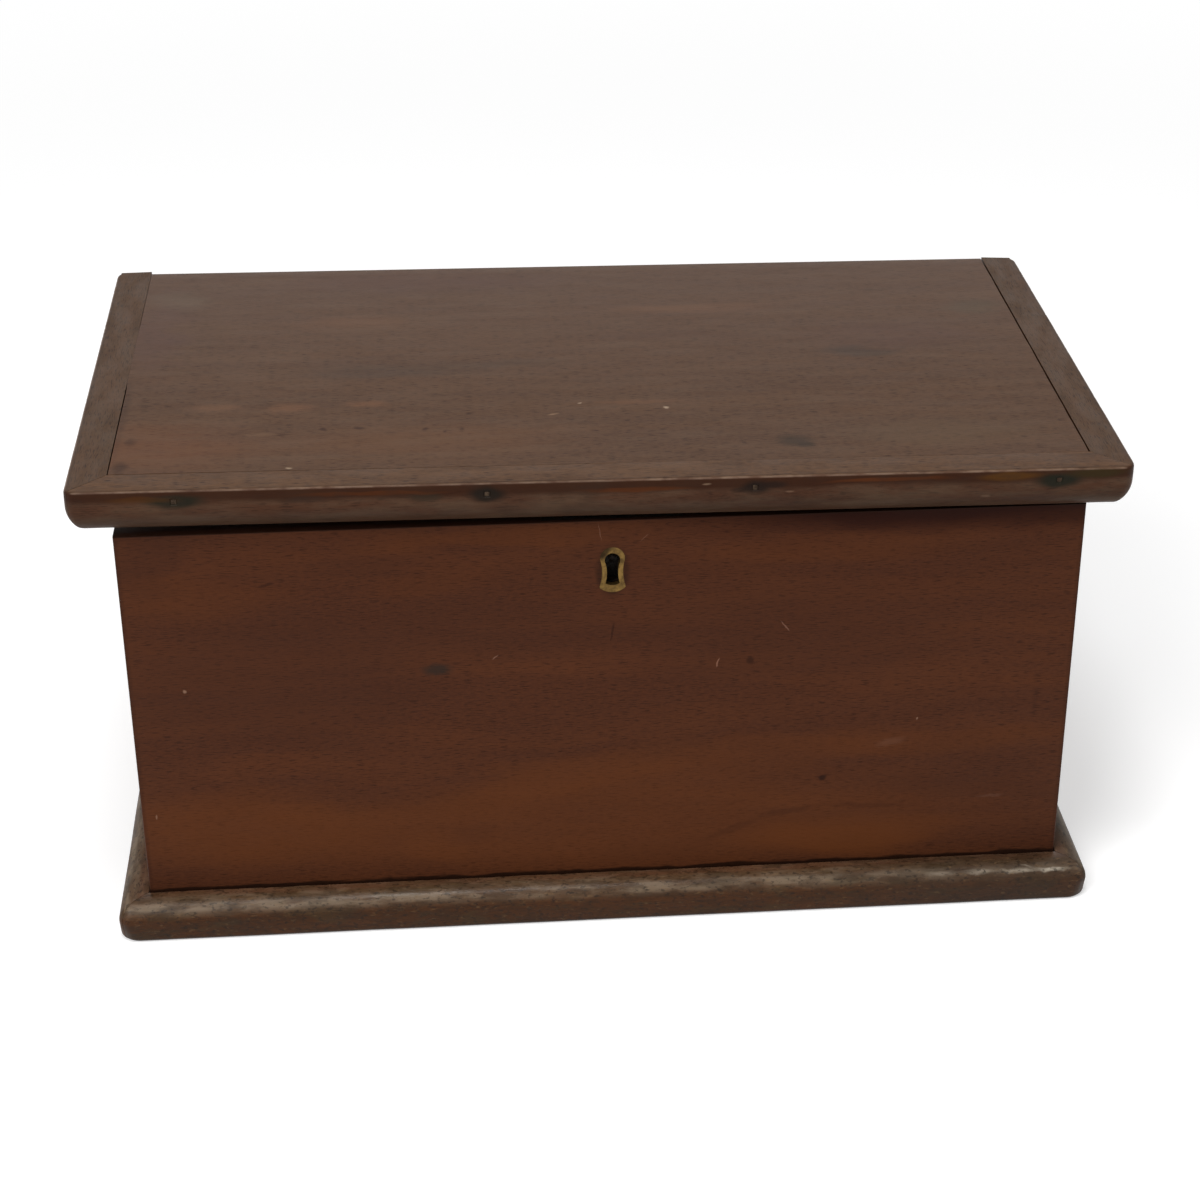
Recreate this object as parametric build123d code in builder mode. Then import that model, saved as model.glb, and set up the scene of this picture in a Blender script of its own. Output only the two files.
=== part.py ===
"""Document box: a dovetailed board box with a moulded base, a hinged lid and a box lock.

Millimetres. X runs to the right along the front, Y to the back, Z up. The origin is on the
surface that the box stands on, under the middle of the carcass.
"""
from build123d import *
import os

os.makedirs("parts", exist_ok=True)

# Carcass boards
carcass_width = 425.0
carcass_depth = 246.0
rim_height = 202.0
board_thickness = 12.0
bottom_thickness = 9.5

# Dovetails: tails on the side boards, lapped by the front board, through the back board
tail_count = 5
front_lap = 3.0
pin_width = 6.0
tail_slope = 1 / 7

# Base moulding
base_height = 18.7
base_projection = 14.2
base_round = 9.5
base_arris = 2.0
base_corner = 6.0

# Lid
lid_thickness = 22.0
lid_side_overhang = 17.5
lid_front_overhang = 12.0
lid_strip_width = 17.0
lid_under_round = 14.0
lid_arris = 1.5
lid_corner = 4.0
shrink_left = 2.5
shrink_right = 1.0
lid_gap_right = 0.3
lid_ajar = 0.8

# Butt hinges: the right one is let in flush, the left one is planted on the surface
hinge_length = 38.0
hinge_inset = 82.5
leaf_thickness = 1.3
leaf_depth = 9.0
knuckle_radius = 2.5
knuckle_count = 5
knuckle_gap = 0.2
knuckle_clearance = 0.3
hinge_pin_radius = 1.2
pin_clearance = 0.05

# Countersunk screws
hinge_screw_head = 2.5
hinge_screw_shank = 1.3
hinge_screw_length = 11.0
hinge_screw_spacing = 22.0
lock_screw_head = 1.9
lock_screw_shank = 1.0
lock_screw_length = 6.0
lock_screw_inset = 7.0
screw_slot = 0.5

# Cut nails, whose places under the side and bottom edges are shares of the length from the middle
nail_head_thickness = 1.2
lid_nail_head = 3.0
lid_nail_shank = 1.9
lid_nail_length = 34.0
lid_nail_drop = 5.5
lid_front_nail_x = (-184.0, -52.0, 63.0, 196.0)
lid_side_nail_places = (0.15, 0.5, 0.82)
bottom_nail_head = 4.0
bottom_nail_shank = 2.2
bottom_nail_length = 27.0
bottom_long_nail_places = (-0.75, -0.25, 0.25, 0.75)
bottom_short_nail_places = (-0.45, 0.45)

# Keyhole and escutcheon, measured from the centre of the keyhole's round head
keyhole_x = 2.5
keyhole_drop = 19.6
keyhole_radius = 3.45
keyhole_neck_angle = 28.0
keyhole_waist = 5.2
keyhole_waist_drop = 4.1
keyhole_foot = 6.4
keyhole_foot_drop = 11.4
keyhole_bow = 0.9
escutcheon_rise = 0.95
escutcheon_radius = 5.45
escutcheon_neck_angle = 20.0
escutcheon_waist = 9.6
escutcheon_waist_drop = 3.0
escutcheon_foot = 11.8
escutcheon_foot_drop = 13.3
escutcheon_bow = 2.5
escutcheon_depth = 3.0

# Box lock
lock_front_wood = 4.0
cover_width = 62.0
cover_height = 37.0
cover_thickness = 1.2
selvedge_width = 10.0
selvedge_thickness = 1.5
case_width = 48.0
case_height = 33.0
case_wall = 1.0
drill_pin_radius = 1.2
bolt_thickness = 2.0
bolt_travel = 5.0
link_spacing = 24.0
link_thickness = 2.0
link_wall = 0.9
link_clearance = 0.6
finger_height = 2.6
finger_drop = 6.0
finger_gap = 0.8
upright_gap = 1.0
bar_height = 4.0
bar_clearance = 1.0
spring_thickness = 0.5
spring_foot_length = 2.0
spring_tip_offset = 1.0
spring_gap = 0.3
link_plate_width = 46.0
link_plate_depth = 9.0
link_plate_thickness = 1.4

# Where the main faces lie
front_y = -carcass_depth / 2
back_y = carcass_depth / 2
inner_front_y = front_y + board_thickness
side_x = carcass_width / 2
board_height = rim_height - bottom_thickness
board_mid_z = bottom_thickness + board_height / 2

# The lid's plane is its underside, with its origin over the carcass's back edge.
# Both hinges leave the same gap between their leaves, and the planted one lifts its end by two leaves.
hinge_x = side_x - hinge_inset
lid_slope = 2 * leaf_thickness / (2 * hinge_x)
gap_right_hinge = lid_gap_right + lid_slope * hinge_inset
gap_left_hinge = gap_right_hinge + 2 * leaf_thickness
gap_middle = (gap_right_hinge + gap_left_hinge) / 2
lid_ajar_slope = lid_ajar / carcass_depth
lid_plane = Plane(
    origin=(0, back_y, rim_height + gap_middle),
    x_dir=(1, 0, -lid_slope),
    z_dir=(lid_slope, lid_ajar_slope, 1),
)
lid_half_width = side_x + lid_side_overhang
lid_front = -(carcass_depth + lid_front_overhang)
panel_half_width = lid_half_width - lid_strip_width
panel_front = lid_front + lid_strip_width

# The hinge pins share one level line behind the back board
pin_y = back_y + knuckle_radius + knuckle_clearance
pin_z = rim_height + gap_middle / 2

# The lock hangs from the rim behind the keyhole
keyhole_z = rim_height - keyhole_drop
cover_y = inner_front_y - cover_thickness
case_front_y = front_y + lock_front_wood
bolt_y = (case_front_y + case_wall + cover_y) / 2
case_room = cover_y - case_front_y - case_wall
link_depth = case_room - 2 * link_clearance
link_x = (keyhole_x - link_spacing / 2, keyhole_x + link_spacing / 2)
bar_top_z = rim_height - 2 * finger_drop - bar_clearance
lock_gap = lid_gap_right + lid_slope * (side_x - keyhole_x) + lid_ajar


def nail(plane, head, shank, length):
    """A square cut nail whose head lies flush in the plane and whose shank runs below it."""
    with Locations(plane.location):
        Box(head, head, nail_head_thickness, align=(Align.CENTER, Align.CENTER, Align.MAX))
        Box(shank, shank, length, align=(Align.CENTER, Align.CENTER, Align.MAX))


def screw(plane, head, shank, length, mode=Mode.ADD):
    """A slotted countersunk screw flush in the plane, or, subtracted, the hole that it fills."""
    align_top = (Align.CENTER, Align.CENTER, Align.MAX)
    with Locations(plane.location):
        Cone(shank, head, head - shank, align=align_top, mode=mode)
        Cylinder(shank, length, align=align_top, mode=mode)
        if mode == Mode.ADD:
            Box(2 * head, screw_slot, screw_slot, align=align_top, mode=Mode.SUBTRACT)


def keyhole_shape(radius, rise, neck_angle, waist, waist_drop, foot, foot_drop, bow):
    """A round head on two hollow sides that spread to a bowed foot."""
    with BuildLine() as shape:
        head = CenterArc((0, rise), radius, -neck_angle, 180 + 2 * neck_angle)
        foot_left = (-foot / 2, -foot_drop)
        foot_right = (foot / 2, -foot_drop)
        ThreePointArc(head @ 1, (-waist / 2, -waist_drop), foot_left)
        ThreePointArc(foot_left, (0, -foot_drop - bow), foot_right)
        ThreePointArc(foot_right, (waist / 2, -waist_drop), head @ 0)
    make_face(shape.edges())


def keyhole_outline():
    """The keyhole, around the drill pin."""
    keyhole_shape(
        keyhole_radius,
        0,
        keyhole_neck_angle,
        keyhole_waist,
        keyhole_waist_drop,
        keyhole_foot,
        keyhole_foot_drop,
        keyhole_bow,
    )


def escutcheon_outline():
    """The escutcheon's outer edge, whose ring is widest at the crown and the foot."""
    keyhole_shape(
        escutcheon_radius,
        escutcheon_rise,
        escutcheon_neck_angle,
        escutcheon_waist,
        escutcheon_waist_drop,
        escutcheon_foot,
        escutcheon_foot_drop,
        escutcheon_bow,
    )


def keyhole_plane(y):
    """A plane facing the front at depth y, centred on the keyhole's head."""
    return Plane(origin=(keyhole_x, y, keyhole_z), x_dir=(1, 0, 0), z_dir=(0, -1, 0))


# Side boards, with lapped tails at the front and through tails at the back
tail_pitch = board_height / tail_count
side_boards = {}
for side, sign in (("left", -1), ("right", 1)):
    with BuildPart() as side_board:
        with BuildSketch(Plane.YZ.offset(sign * (side_x - board_thickness / 2))):
            with Locations((0, board_mid_z)):
                Rectangle(carcass_depth - 2 * board_thickness, board_height)
            for end, tail_length in ((-1, board_thickness - front_lap), (1, board_thickness)):
                root_y = end * (carcass_depth / 2 - board_thickness)
                tip_y = root_y + end * tail_length
                half_tip = (tail_pitch - pin_width) / 2
                half_root = half_tip - tail_slope * tail_length
                for row in range(tail_count):
                    tail_z = bottom_thickness + (row + 0.5) * tail_pitch
                    with BuildLine():
                        Polyline(
                            (root_y, tail_z - half_root),
                            (tip_y, tail_z - half_tip),
                            (tip_y, tail_z + half_tip),
                            (root_y, tail_z + half_root),
                            close=True,
                        )
                    make_face()
        extrude(amount=board_thickness / 2, both=True)
    side_boards[side] = side_board

# Nails driven up through the bottom board into the carcass boards
with BuildPart() as bottom_nails:
    nail_line_x = side_x - board_thickness / 2
    nail_line_y = back_y - board_thickness / 2
    for nail_y in (-nail_line_y, nail_line_y):
        for place in bottom_long_nail_places:
            under = Plane(origin=(place * nail_line_x, nail_y, 0), z_dir=(0, 0, -1))
            nail(under, bottom_nail_head, bottom_nail_shank, bottom_nail_length)
    for nail_x in (-nail_line_x, nail_line_x):
        for place in bottom_short_nail_places:
            under = Plane(origin=(nail_x, place * nail_line_y, 0), z_dir=(0, 0, -1))
            nail(under, bottom_nail_head, bottom_nail_shank, bottom_nail_length)
bottom_nails.part.label = "bottom_nails"
export_step(bottom_nails.part, "parts/bottom_nails.step")

for side, side_board in side_boards.items():
    with BuildPart() as nailed_side:
        add(side_board.part)
        add(bottom_nails.part, mode=Mode.SUBTRACT)
    nailed_side.part.label = f"{side}_side_board"
    export_step(nailed_side.part, f"parts/{side}_side_board.step")

# Bottom board, nailed on from below
with BuildPart() as bottom_board:
    Box(
        carcass_width,
        carcass_depth,
        bottom_thickness,
        align=(Align.CENTER, Align.CENTER, Align.MIN),
    )
    add(bottom_nails.part, mode=Mode.SUBTRACT)
bottom_board.part.label = "bottom_board"
export_step(bottom_board.part, "parts/bottom_board.step")

# Hinge screws, two in a row through each leaf
hinge_side_x = {"left": -hinge_x, "right": hinge_x}
lower_leaf_z = {"left": rim_height + leaf_thickness, "right": rim_height}
upper_leaf_z = {"left": -leaf_thickness, "right": 0}
hinge_screw = (hinge_screw_head, hinge_screw_shank, hinge_screw_length)
hinge_seats = {"lower": [], "upper": []}
for side, middle in hinge_side_x.items():
    for step in (-1, 1):
        x = middle + step * hinge_screw_spacing / 2
        hinge_seats["lower"].append(Plane(origin=(x, back_y - leaf_depth / 2, lower_leaf_z[side])))
        in_lid = Plane(origin=(x, -leaf_depth / 2, upper_leaf_z[side]), z_dir=(0, 0, -1))
        hinge_seats["upper"].append(lid_plane.moved(in_lid))

for leaf, seats in hinge_seats.items():
    with BuildPart() as hinge_screws:
        for seat in seats:
            screw(seat, *hinge_screw)
    hinge_screws.part.label = f"hinge_screws_{leaf}"
    export_step(hinge_screws.part, f"parts/hinge_screws_{leaf}.step")

# Butt hinges: the outer knuckles belong to the lower leaf, which is screwed to the back board
hinge_leaves = {}
knuckle_pitch = hinge_length / knuckle_count
for side, x in hinge_side_x.items():
    lower_plane = Plane.XY.offset(lower_leaf_z[side] - leaf_thickness).move(Location((0, back_y, 0)))
    upper_plane = lid_plane.moved(Plane.XY.offset(upper_leaf_z[side]))
    lower_level = lower_leaf_z[side] - leaf_thickness
    upper_level = rim_height + gap_middle - lid_slope * x + upper_leaf_z[side]
    for leaf, leaf_plane, level, first in (
        ("lower", lower_plane, lower_level, 0),
        ("upper", upper_plane, upper_level, 1),
    ):
        with BuildPart() as hinge_leaf:
            with BuildSketch(leaf_plane):
                with Locations((x, -leaf_depth / 2)):
                    Rectangle(hinge_length, leaf_depth)
            extrude(amount=leaf_thickness)
            for place in range(first, knuckle_count, 2):
                with BuildSketch(Plane.YZ.offset(x - hinge_length / 2 + (place + 0.5) * knuckle_pitch)):
                    with Locations((pin_y, pin_z)):
                        Circle(knuckle_radius)
                    with Locations(((back_y - knuckle_clearance + pin_y) / 2, level + leaf_thickness / 2)):
                        Rectangle(pin_y - back_y + knuckle_clearance, leaf_thickness)
                    with Locations((pin_y, pin_z)):
                        Circle(hinge_pin_radius + pin_clearance, mode=Mode.SUBTRACT)
                extrude(amount=(knuckle_pitch - knuckle_gap) / 2, both=True)
            for seat in hinge_seats[leaf]:
                screw(seat, *hinge_screw, mode=Mode.SUBTRACT)
        hinge_leaf.part.label = f"hinge_{leaf}_leaf_{side}"
        export_step(hinge_leaf.part, f"parts/hinge_{leaf}_leaf_{side}.step")
        hinge_leaves[leaf, side] = hinge_leaf

    with BuildPart() as hinge_pin:
        with BuildSketch(Plane.YZ.offset(x)):
            with Locations((pin_y, pin_z)):
                Circle(hinge_pin_radius)
        extrude(amount=hinge_length / 2, both=True)
        hinge_pin.part.label = f"hinge_pin_{side}"
    export_step(hinge_pin.part, f"parts/hinge_pin_{side}.step")

# Back board, with pins between the side boards' tails and a seat for the let-in hinge leaf
with BuildPart() as back_board:
    with Locations((0, back_y - board_thickness / 2, board_mid_z)):
        Box(carcass_width, board_thickness, board_height)
    for side_board in side_boards.values():
        add(side_board.part, mode=Mode.SUBTRACT)
    add(bottom_nails.part, mode=Mode.SUBTRACT)
    for side in hinge_side_x:
        add(hinge_leaves["lower", side].part, mode=Mode.SUBTRACT)
    for seat in hinge_seats["lower"]:
        screw(seat, *hinge_screw, mode=Mode.SUBTRACT)
back_board.part.label = "back_board"
export_step(back_board.part, "parts/back_board.step")

# Lock screws, at the cover plate's ends beyond the case
cover_mid_z = rim_height - cover_height / 2
lock_screw = (lock_screw_head, lock_screw_shank, lock_screw_length)
lock_seats = []
for x in (keyhole_x - (case_width + cover_width) / 4, keyhole_x + (case_width + cover_width) / 4):
    for z in (rim_height - cover_height + lock_screw_inset, rim_height - lock_screw_inset):
        lock_seats.append(Plane(origin=(x, inner_front_y, z), z_dir=(0, 1, 0)))
with BuildPart() as lock_screws:
    for seat in lock_seats:
        screw(seat, *lock_screw)
lock_screws.part.label = "lock_screws"
export_step(lock_screws.part, "parts/lock_screws.step")

# Lock cover plate on the inner face, bent over at the rim into the selvedge with its link slots
with BuildPart() as lock_cover:
    with BuildSketch(Plane.YZ.offset(keyhole_x)):
        with BuildLine():
            Polyline(
                (inner_front_y, rim_height),
                (inner_front_y - selvedge_width, rim_height),
                (inner_front_y - selvedge_width, rim_height - selvedge_thickness),
                (cover_y, rim_height - selvedge_thickness),
                (cover_y, rim_height - cover_height),
                (inner_front_y, rim_height - cover_height),
                close=True,
            )
        make_face()
    extrude(amount=cover_width / 2, both=True)
    with BuildSketch(Plane.XY.offset(rim_height)):
        for x in link_x:
            with Locations((x, bolt_y)):
                Rectangle(link_thickness + 2 * link_clearance, case_room)
    extrude(amount=-selvedge_thickness, mode=Mode.SUBTRACT)
    for seat in lock_seats:
        screw(seat, *lock_screw, mode=Mode.SUBTRACT)
lock_cover.part.label = "lock_cover_plate"
export_step(lock_cover.part, "parts/lock_cover_plate.step")

# Lock case: a shallow tray behind the wood, with its own keyhole
case_top_z = rim_height - selvedge_thickness
case_mid_z = case_top_z - case_height / 2
with BuildPart() as lock_case:
    with Locations((keyhole_x, (case_front_y + cover_y) / 2, case_mid_z)):
        Box(case_width, cover_y - case_front_y, case_height)
    with BuildSketch(Plane.XZ.offset(-cover_y)):
        with Locations((keyhole_x, case_mid_z + case_wall / 2)):
            Rectangle(case_width - 2 * case_wall, case_height - case_wall)
    extrude(amount=case_room, mode=Mode.SUBTRACT)
    with BuildSketch(keyhole_plane(case_front_y)):
        keyhole_outline()
    extrude(amount=-case_wall, mode=Mode.SUBTRACT)
lock_case.part.label = "lock_case"
export_step(lock_case.part, "parts/lock_case.step")

# Drill pin, which the key's pipe turns on, riveted into the cover plate's inner side
with BuildPart() as drill_pin:
    with BuildSketch(keyhole_plane(cover_y)):
        Circle(drill_pin_radius)
    extrude(amount=cover_y - case_front_y + case_wall)
    chamfer(drill_pin.faces().sort_by(Axis.Y)[0].edges(), length=drill_pin_radius / 3)
drill_pin.part.label = "lock_drill_pin"
export_step(drill_pin.part, "parts/lock_drill_pin.step")

# Sliding bolt: a bar with two upright fingers that pass through the lid's links
finger_tip = -link_thickness / 2 - finger_gap
finger_length = bolt_travel + upright_gap - finger_gap
finger_root = finger_tip - finger_length
upright_width = finger_height
with BuildPart() as lock_bolt:
    with BuildSketch(Plane.XZ.offset(-bolt_y)):
        bar_left = link_x[0] + finger_root - upright_width
        bar_right = link_x[1] + finger_root + finger_length / 2
        with Locations(((bar_left + bar_right) / 2, bar_top_z - bar_height / 2)):
            Rectangle(bar_right - bar_left, bar_height)
        with Locations((keyhole_x, bar_top_z - bar_height)):
            Circle(bar_height / 2, mode=Mode.SUBTRACT)
        for x in link_x:
            finger_z = rim_height - finger_drop
            upright_top = finger_z + finger_height / 2
            with Locations((x + finger_root - upright_width / 2, (upright_top + bar_top_z) / 2)):
                Rectangle(upright_width, upright_top - bar_top_z)
            with Locations((x + (finger_root + finger_tip) / 2, finger_z)):
                Rectangle(finger_length, finger_height)
    extrude(amount=bolt_thickness / 2, both=True)
lock_bolt.part.label = "lock_bolt"
export_step(lock_bolt.part, "parts/lock_bolt.step")

# Bowed leaf spring under the selvedge, whose free end bears on the bolt's bar
spring_foot_x = keyhole_x - link_spacing / 4
spring_tip_x = keyhole_x - spring_tip_offset
with BuildPart() as lock_spring:
    with BuildSketch(Plane.XZ.offset(-bolt_y)):
        with BuildLine() as spring_line:
            top = case_top_z - spring_thickness / 2
            low = bar_top_z + spring_thickness / 2 + spring_gap
            foot = Line((spring_foot_x - spring_foot_length, top), (spring_foot_x, top))
            TangentArc(foot @ 1, (spring_tip_x, (top + low) / 2), tangent=foot % 1)
            Line(spring_line.line @ 1, (spring_tip_x, low))
            offset(amount=spring_thickness / 2, side=Side.BOTH)
        make_face()
    extrude(amount=bolt_thickness / 2, both=True)
lock_spring.part.label = "lock_spring"
export_step(lock_spring.part, "parts/lock_spring.step")

# Brass escutcheon, a keyhole-shaped ring let in flush
with BuildPart() as escutcheon:
    with BuildSketch(keyhole_plane(front_y)):
        escutcheon_outline()
    extrude(amount=-escutcheon_depth)
    with BuildSketch(keyhole_plane(front_y)):
        keyhole_outline()
    extrude(amount=-escutcheon_depth, mode=Mode.SUBTRACT)
escutcheon.part.label = "escutcheon"
export_step(escutcheon.part, "parts/escutcheon.step")

# Front board, lapped over the side boards' tails, cut for the lock, the keyhole and the escutcheon
with BuildPart() as front_board:
    with Locations((0, front_y + board_thickness / 2, board_mid_z)):
        Box(carcass_width, board_thickness, board_height)
    for side_board in side_boards.values():
        add(side_board.part, mode=Mode.SUBTRACT)
    add(bottom_nails.part, mode=Mode.SUBTRACT)
    with BuildSketch(Plane.XZ.offset(-inner_front_y)):
        with Locations((keyhole_x, cover_mid_z)):
            Rectangle(cover_width, cover_height)
    extrude(amount=cover_thickness, mode=Mode.SUBTRACT)
    with BuildSketch(Plane.XZ.offset(-inner_front_y)):
        with Locations((keyhole_x, case_mid_z)):
            Rectangle(case_width, case_height + 2 * selvedge_thickness)
    extrude(amount=inner_front_y - case_front_y, mode=Mode.SUBTRACT)
    with BuildSketch(Plane.XY.offset(rim_height)):
        with Locations((keyhole_x, inner_front_y - selvedge_width / 2)):
            Rectangle(cover_width, selvedge_width)
    extrude(amount=-selvedge_thickness, mode=Mode.SUBTRACT)
    with BuildSketch(keyhole_plane(front_y)):
        keyhole_outline()
    extrude(amount=-lock_front_wood, mode=Mode.SUBTRACT)
    with BuildSketch(keyhole_plane(front_y)):
        escutcheon_outline()
    extrude(amount=-escutcheon_depth, mode=Mode.SUBTRACT)
    for seat in lock_seats:
        screw(seat, *lock_screw, mode=Mode.SUBTRACT)
front_board.part.label = "front_board"
export_step(front_board.part, "parts/front_board.step")


def base_plan():
    """The base's outline seen from above, with its front corners worn round."""
    with Locations((0, back_y)):
        width = carcass_width + 2 * base_projection
        RectangleRounded(width, 2 * (carcass_depth + base_projection), base_corner)


def base_profile():
    """Base moulding's section: x out from the board's face, y up."""
    with BuildLine() as section_line:
        ledge = (base_projection - base_round, base_height)
        face_top = (base_projection, base_height - base_round)
        heel = (base_projection, base_arris)
        Polyline(ledge, (0, base_height), (0, 0), (base_projection - base_arris, 0))
        RadiusArc((base_projection - base_arris, 0), heel, -base_arris)
        Line(heel, face_top)
        RadiusArc(face_top, ledge, -base_round)
    make_face(section_line.edges())


# Base moulding, planted on the front and both sides and mitred at the front corners
corner_mitre = {
    -1: Plane(origin=(-side_x, front_y, 0), z_dir=(1, -1, 0)),
    1: Plane(origin=(side_x, front_y, 0), z_dir=(-1, -1, 0)),
}
with BuildPart() as base_moulding_front:
    section = Plane(origin=(0, front_y, 0), x_dir=(0, -1, 0), z_dir=(-1, 0, 0))
    with BuildSketch(section):
        base_profile()
    extrude(amount=side_x + base_projection, both=True)
    split(bisect_by=corner_mitre[-1], keep=Keep.TOP)
    split(bisect_by=corner_mitre[1], keep=Keep.TOP)
    with BuildSketch():
        base_plan()
    extrude(amount=base_height, mode=Mode.INTERSECT)
base_moulding_front.part.label = "base_moulding_front"
export_step(base_moulding_front.part, "parts/base_moulding_front.step")

for side, sign in (("left", -1), ("right", 1)):
    with BuildPart() as base_moulding_side:
        section = Plane(origin=(sign * side_x, back_y, 0), x_dir=(sign, 0, 0), z_dir=(0, -sign, 0))
        with BuildSketch(section):
            base_profile()
        extrude(amount=sign * (carcass_depth + base_projection))
        split(bisect_by=corner_mitre[sign], keep=Keep.BOTTOM)
        with BuildSketch():
            base_plan()
        extrude(amount=base_height, mode=Mode.INTERSECT)
    base_moulding_side.part.label = f"base_moulding_{side}"
    export_step(base_moulding_side.part, f"parts/base_moulding_{side}.step")


def lid_plan():
    """The lid's outline seen from above, with its corners worn round."""
    with Locations((0, lid_front / 2)):
        RectangleRounded(2 * lid_half_width, -lid_front, lid_corner)


def strip_profile():
    """Lid moulding's section: x in from the lid's outer edge, y up from the underside."""
    with BuildLine() as section_line:
        round_end = (lid_under_round, 0)
        round_top = (0, lid_under_round)
        arris_foot = (0, lid_thickness - lid_arris)
        arris_top = (lid_arris, lid_thickness)
        Polyline(arris_top, (lid_strip_width, lid_thickness), (lid_strip_width, 0), round_end)
        RadiusArc(round_end, round_top, lid_under_round)
        Line(round_top, arris_foot)
        RadiusArc(arris_foot, arris_top, lid_arris)
    make_face(section_line.edges())


# Lid nails, through the front strip and the side strips into the panel's edges
lid_nail_z = lid_thickness - lid_nail_drop
lid_side_nail_y = [lid_front * place for place in lid_side_nail_places]
with BuildPart() as lid_front_nails:
    for x in lid_front_nail_x:
        face = lid_plane.moved(Plane(origin=(x, lid_front, lid_nail_z), z_dir=(0, -1, 0)))
        nail(face, lid_nail_head, lid_nail_shank, lid_nail_length)
lid_front_nails.part.label = "lid_front_nails"
export_step(lid_front_nails.part, "parts/lid_front_nails.step")

with BuildPart() as lid_side_nails:
    for sign in (-1, 1):
        for y in lid_side_nail_y:
            edge = Plane(origin=(sign * lid_half_width, y, lid_nail_z), z_dir=(sign, 0, 0))
            nail(lid_plane.moved(edge), lid_nail_head, lid_nail_shank, lid_nail_length)
lid_side_nails.part.label = "lid_side_nails"
export_step(lid_side_nails.part, "parts/lid_side_nails.step")

# Link plate on the lid's underside, whose two links drop into the lock
link_seat = lid_plane.to_local_coords(Vector(keyhole_x, bolt_y, rim_height))
link_hole_top = lock_gap + finger_drop - finger_height
link_hole_bottom = lock_gap + finger_drop + finger_height
link_drop = link_hole_bottom + 2 * link_wall
link_plate_seats = []
for step in (-1, 1):
    spot = (link_seat.X + step * (link_plate_width + link_spacing) / 4, link_seat.Y, 0)
    link_plate_seats.append(lid_plane.moved(Plane(origin=spot, z_dir=(0, 0, -1))))
with BuildPart() as link_plate_screws:
    for seat in link_plate_seats:
        screw(seat, *lock_screw)
link_plate_screws.part.label = "link_plate_screws"
export_step(link_plate_screws.part, "parts/link_plate_screws.step")

with BuildPart() as link_plate:
    with BuildSketch(lid_plane):
        with Locations((link_seat.X, link_seat.Y)):
            SlotOverall(link_plate_width, link_plate_depth)
    extrude(amount=link_plate_thickness)
    for step in (-1, 1):
        side_view = Plane.YZ.offset(link_seat.X + step * link_spacing / 2)
        with BuildSketch(lid_plane.moved(side_view)):
            with Locations((link_seat.Y, -link_drop / 2)):
                Rectangle(link_depth, link_drop)
            with Locations((link_seat.Y, -(link_hole_top + link_hole_bottom) / 2)):
                Rectangle(link_depth - 2 * link_wall, link_hole_bottom - link_hole_top, mode=Mode.SUBTRACT)
        extrude(amount=link_thickness / 2, both=True)
    for seat in link_plate_seats:
        screw(seat, *lock_screw, mode=Mode.SUBTRACT)
link_plate.part.label = "link_plate"
export_step(link_plate.part, "parts/link_plate.step")

# Lid mouldings, mitred at the front corners and square at the back
lid_mitre = {
    -1: lid_plane.moved(Plane(origin=(-lid_half_width, lid_front, 0), z_dir=(1, -1, 0))),
    1: lid_plane.moved(Plane(origin=(lid_half_width, lid_front, 0), z_dir=(-1, -1, 0))),
}
with BuildPart() as lid_moulding_front:
    section = lid_plane.moved(Plane(origin=(0, lid_front, 0), x_dir=(0, 1, 0), z_dir=(1, 0, 0)))
    with BuildSketch(section):
        strip_profile()
    extrude(amount=lid_half_width, both=True)
    split(bisect_by=lid_mitre[-1], keep=Keep.TOP)
    split(bisect_by=lid_mitre[1], keep=Keep.TOP)
    with BuildSketch(lid_plane):
        lid_plan()
    extrude(amount=lid_thickness, mode=Mode.INTERSECT)
    add(lid_front_nails.part, mode=Mode.SUBTRACT)
    add(link_plate.part, mode=Mode.SUBTRACT)
    for seat in link_plate_seats:
        screw(seat, *lock_screw, mode=Mode.SUBTRACT)
lid_moulding_front.part.label = "lid_moulding_front"
export_step(lid_moulding_front.part, "parts/lid_moulding_front.step")

for side, sign in (("left", -1), ("right", 1)):
    with BuildPart() as lid_moulding_side:
        edge = Plane(origin=(sign * lid_half_width, 0, 0), x_dir=(-sign, 0, 0), z_dir=(0, sign, 0))
        with BuildSketch(lid_plane.moved(edge)):
            strip_profile()
        extrude(amount=sign * lid_front)
        split(bisect_by=lid_mitre[sign], keep=Keep.BOTTOM)
        with BuildSketch(lid_plane):
            lid_plan()
        extrude(amount=lid_thickness, mode=Mode.INTERSECT)
        add(lid_side_nails.part, mode=Mode.SUBTRACT)
    lid_moulding_side.part.label = f"lid_moulding_{side}"
    export_step(lid_moulding_side.part, f"parts/lid_moulding_{side}.step")

# Lid panel, shrunk away at its back edge, with seats for the hinge leaf and the link plate
with BuildPart() as lid_panel:
    with BuildSketch(lid_plane):
        with BuildLine():
            Polyline(
                (-panel_half_width, panel_front),
                (panel_half_width, panel_front),
                (panel_half_width, -shrink_right),
                (-panel_half_width, -shrink_left),
                close=True,
            )
        make_face()
    extrude(amount=lid_thickness)
    for side in hinge_side_x:
        add(hinge_leaves["upper", side].part, mode=Mode.SUBTRACT)
    for seat in hinge_seats["upper"]:
        screw(seat, *hinge_screw, mode=Mode.SUBTRACT)
    add(link_plate.part, mode=Mode.SUBTRACT)
    for seat in link_plate_seats:
        screw(seat, *lock_screw, mode=Mode.SUBTRACT)
    add(lid_front_nails.part, mode=Mode.SUBTRACT)
    add(lid_side_nails.part, mode=Mode.SUBTRACT)
lid_panel.part.label = "lid_panel"
export_step(lid_panel.part, "parts/lid_panel.step")

print("pin line", round(pin_y, 3), round(pin_z, 3), "gap at the lock", round(lock_gap, 2))
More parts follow.
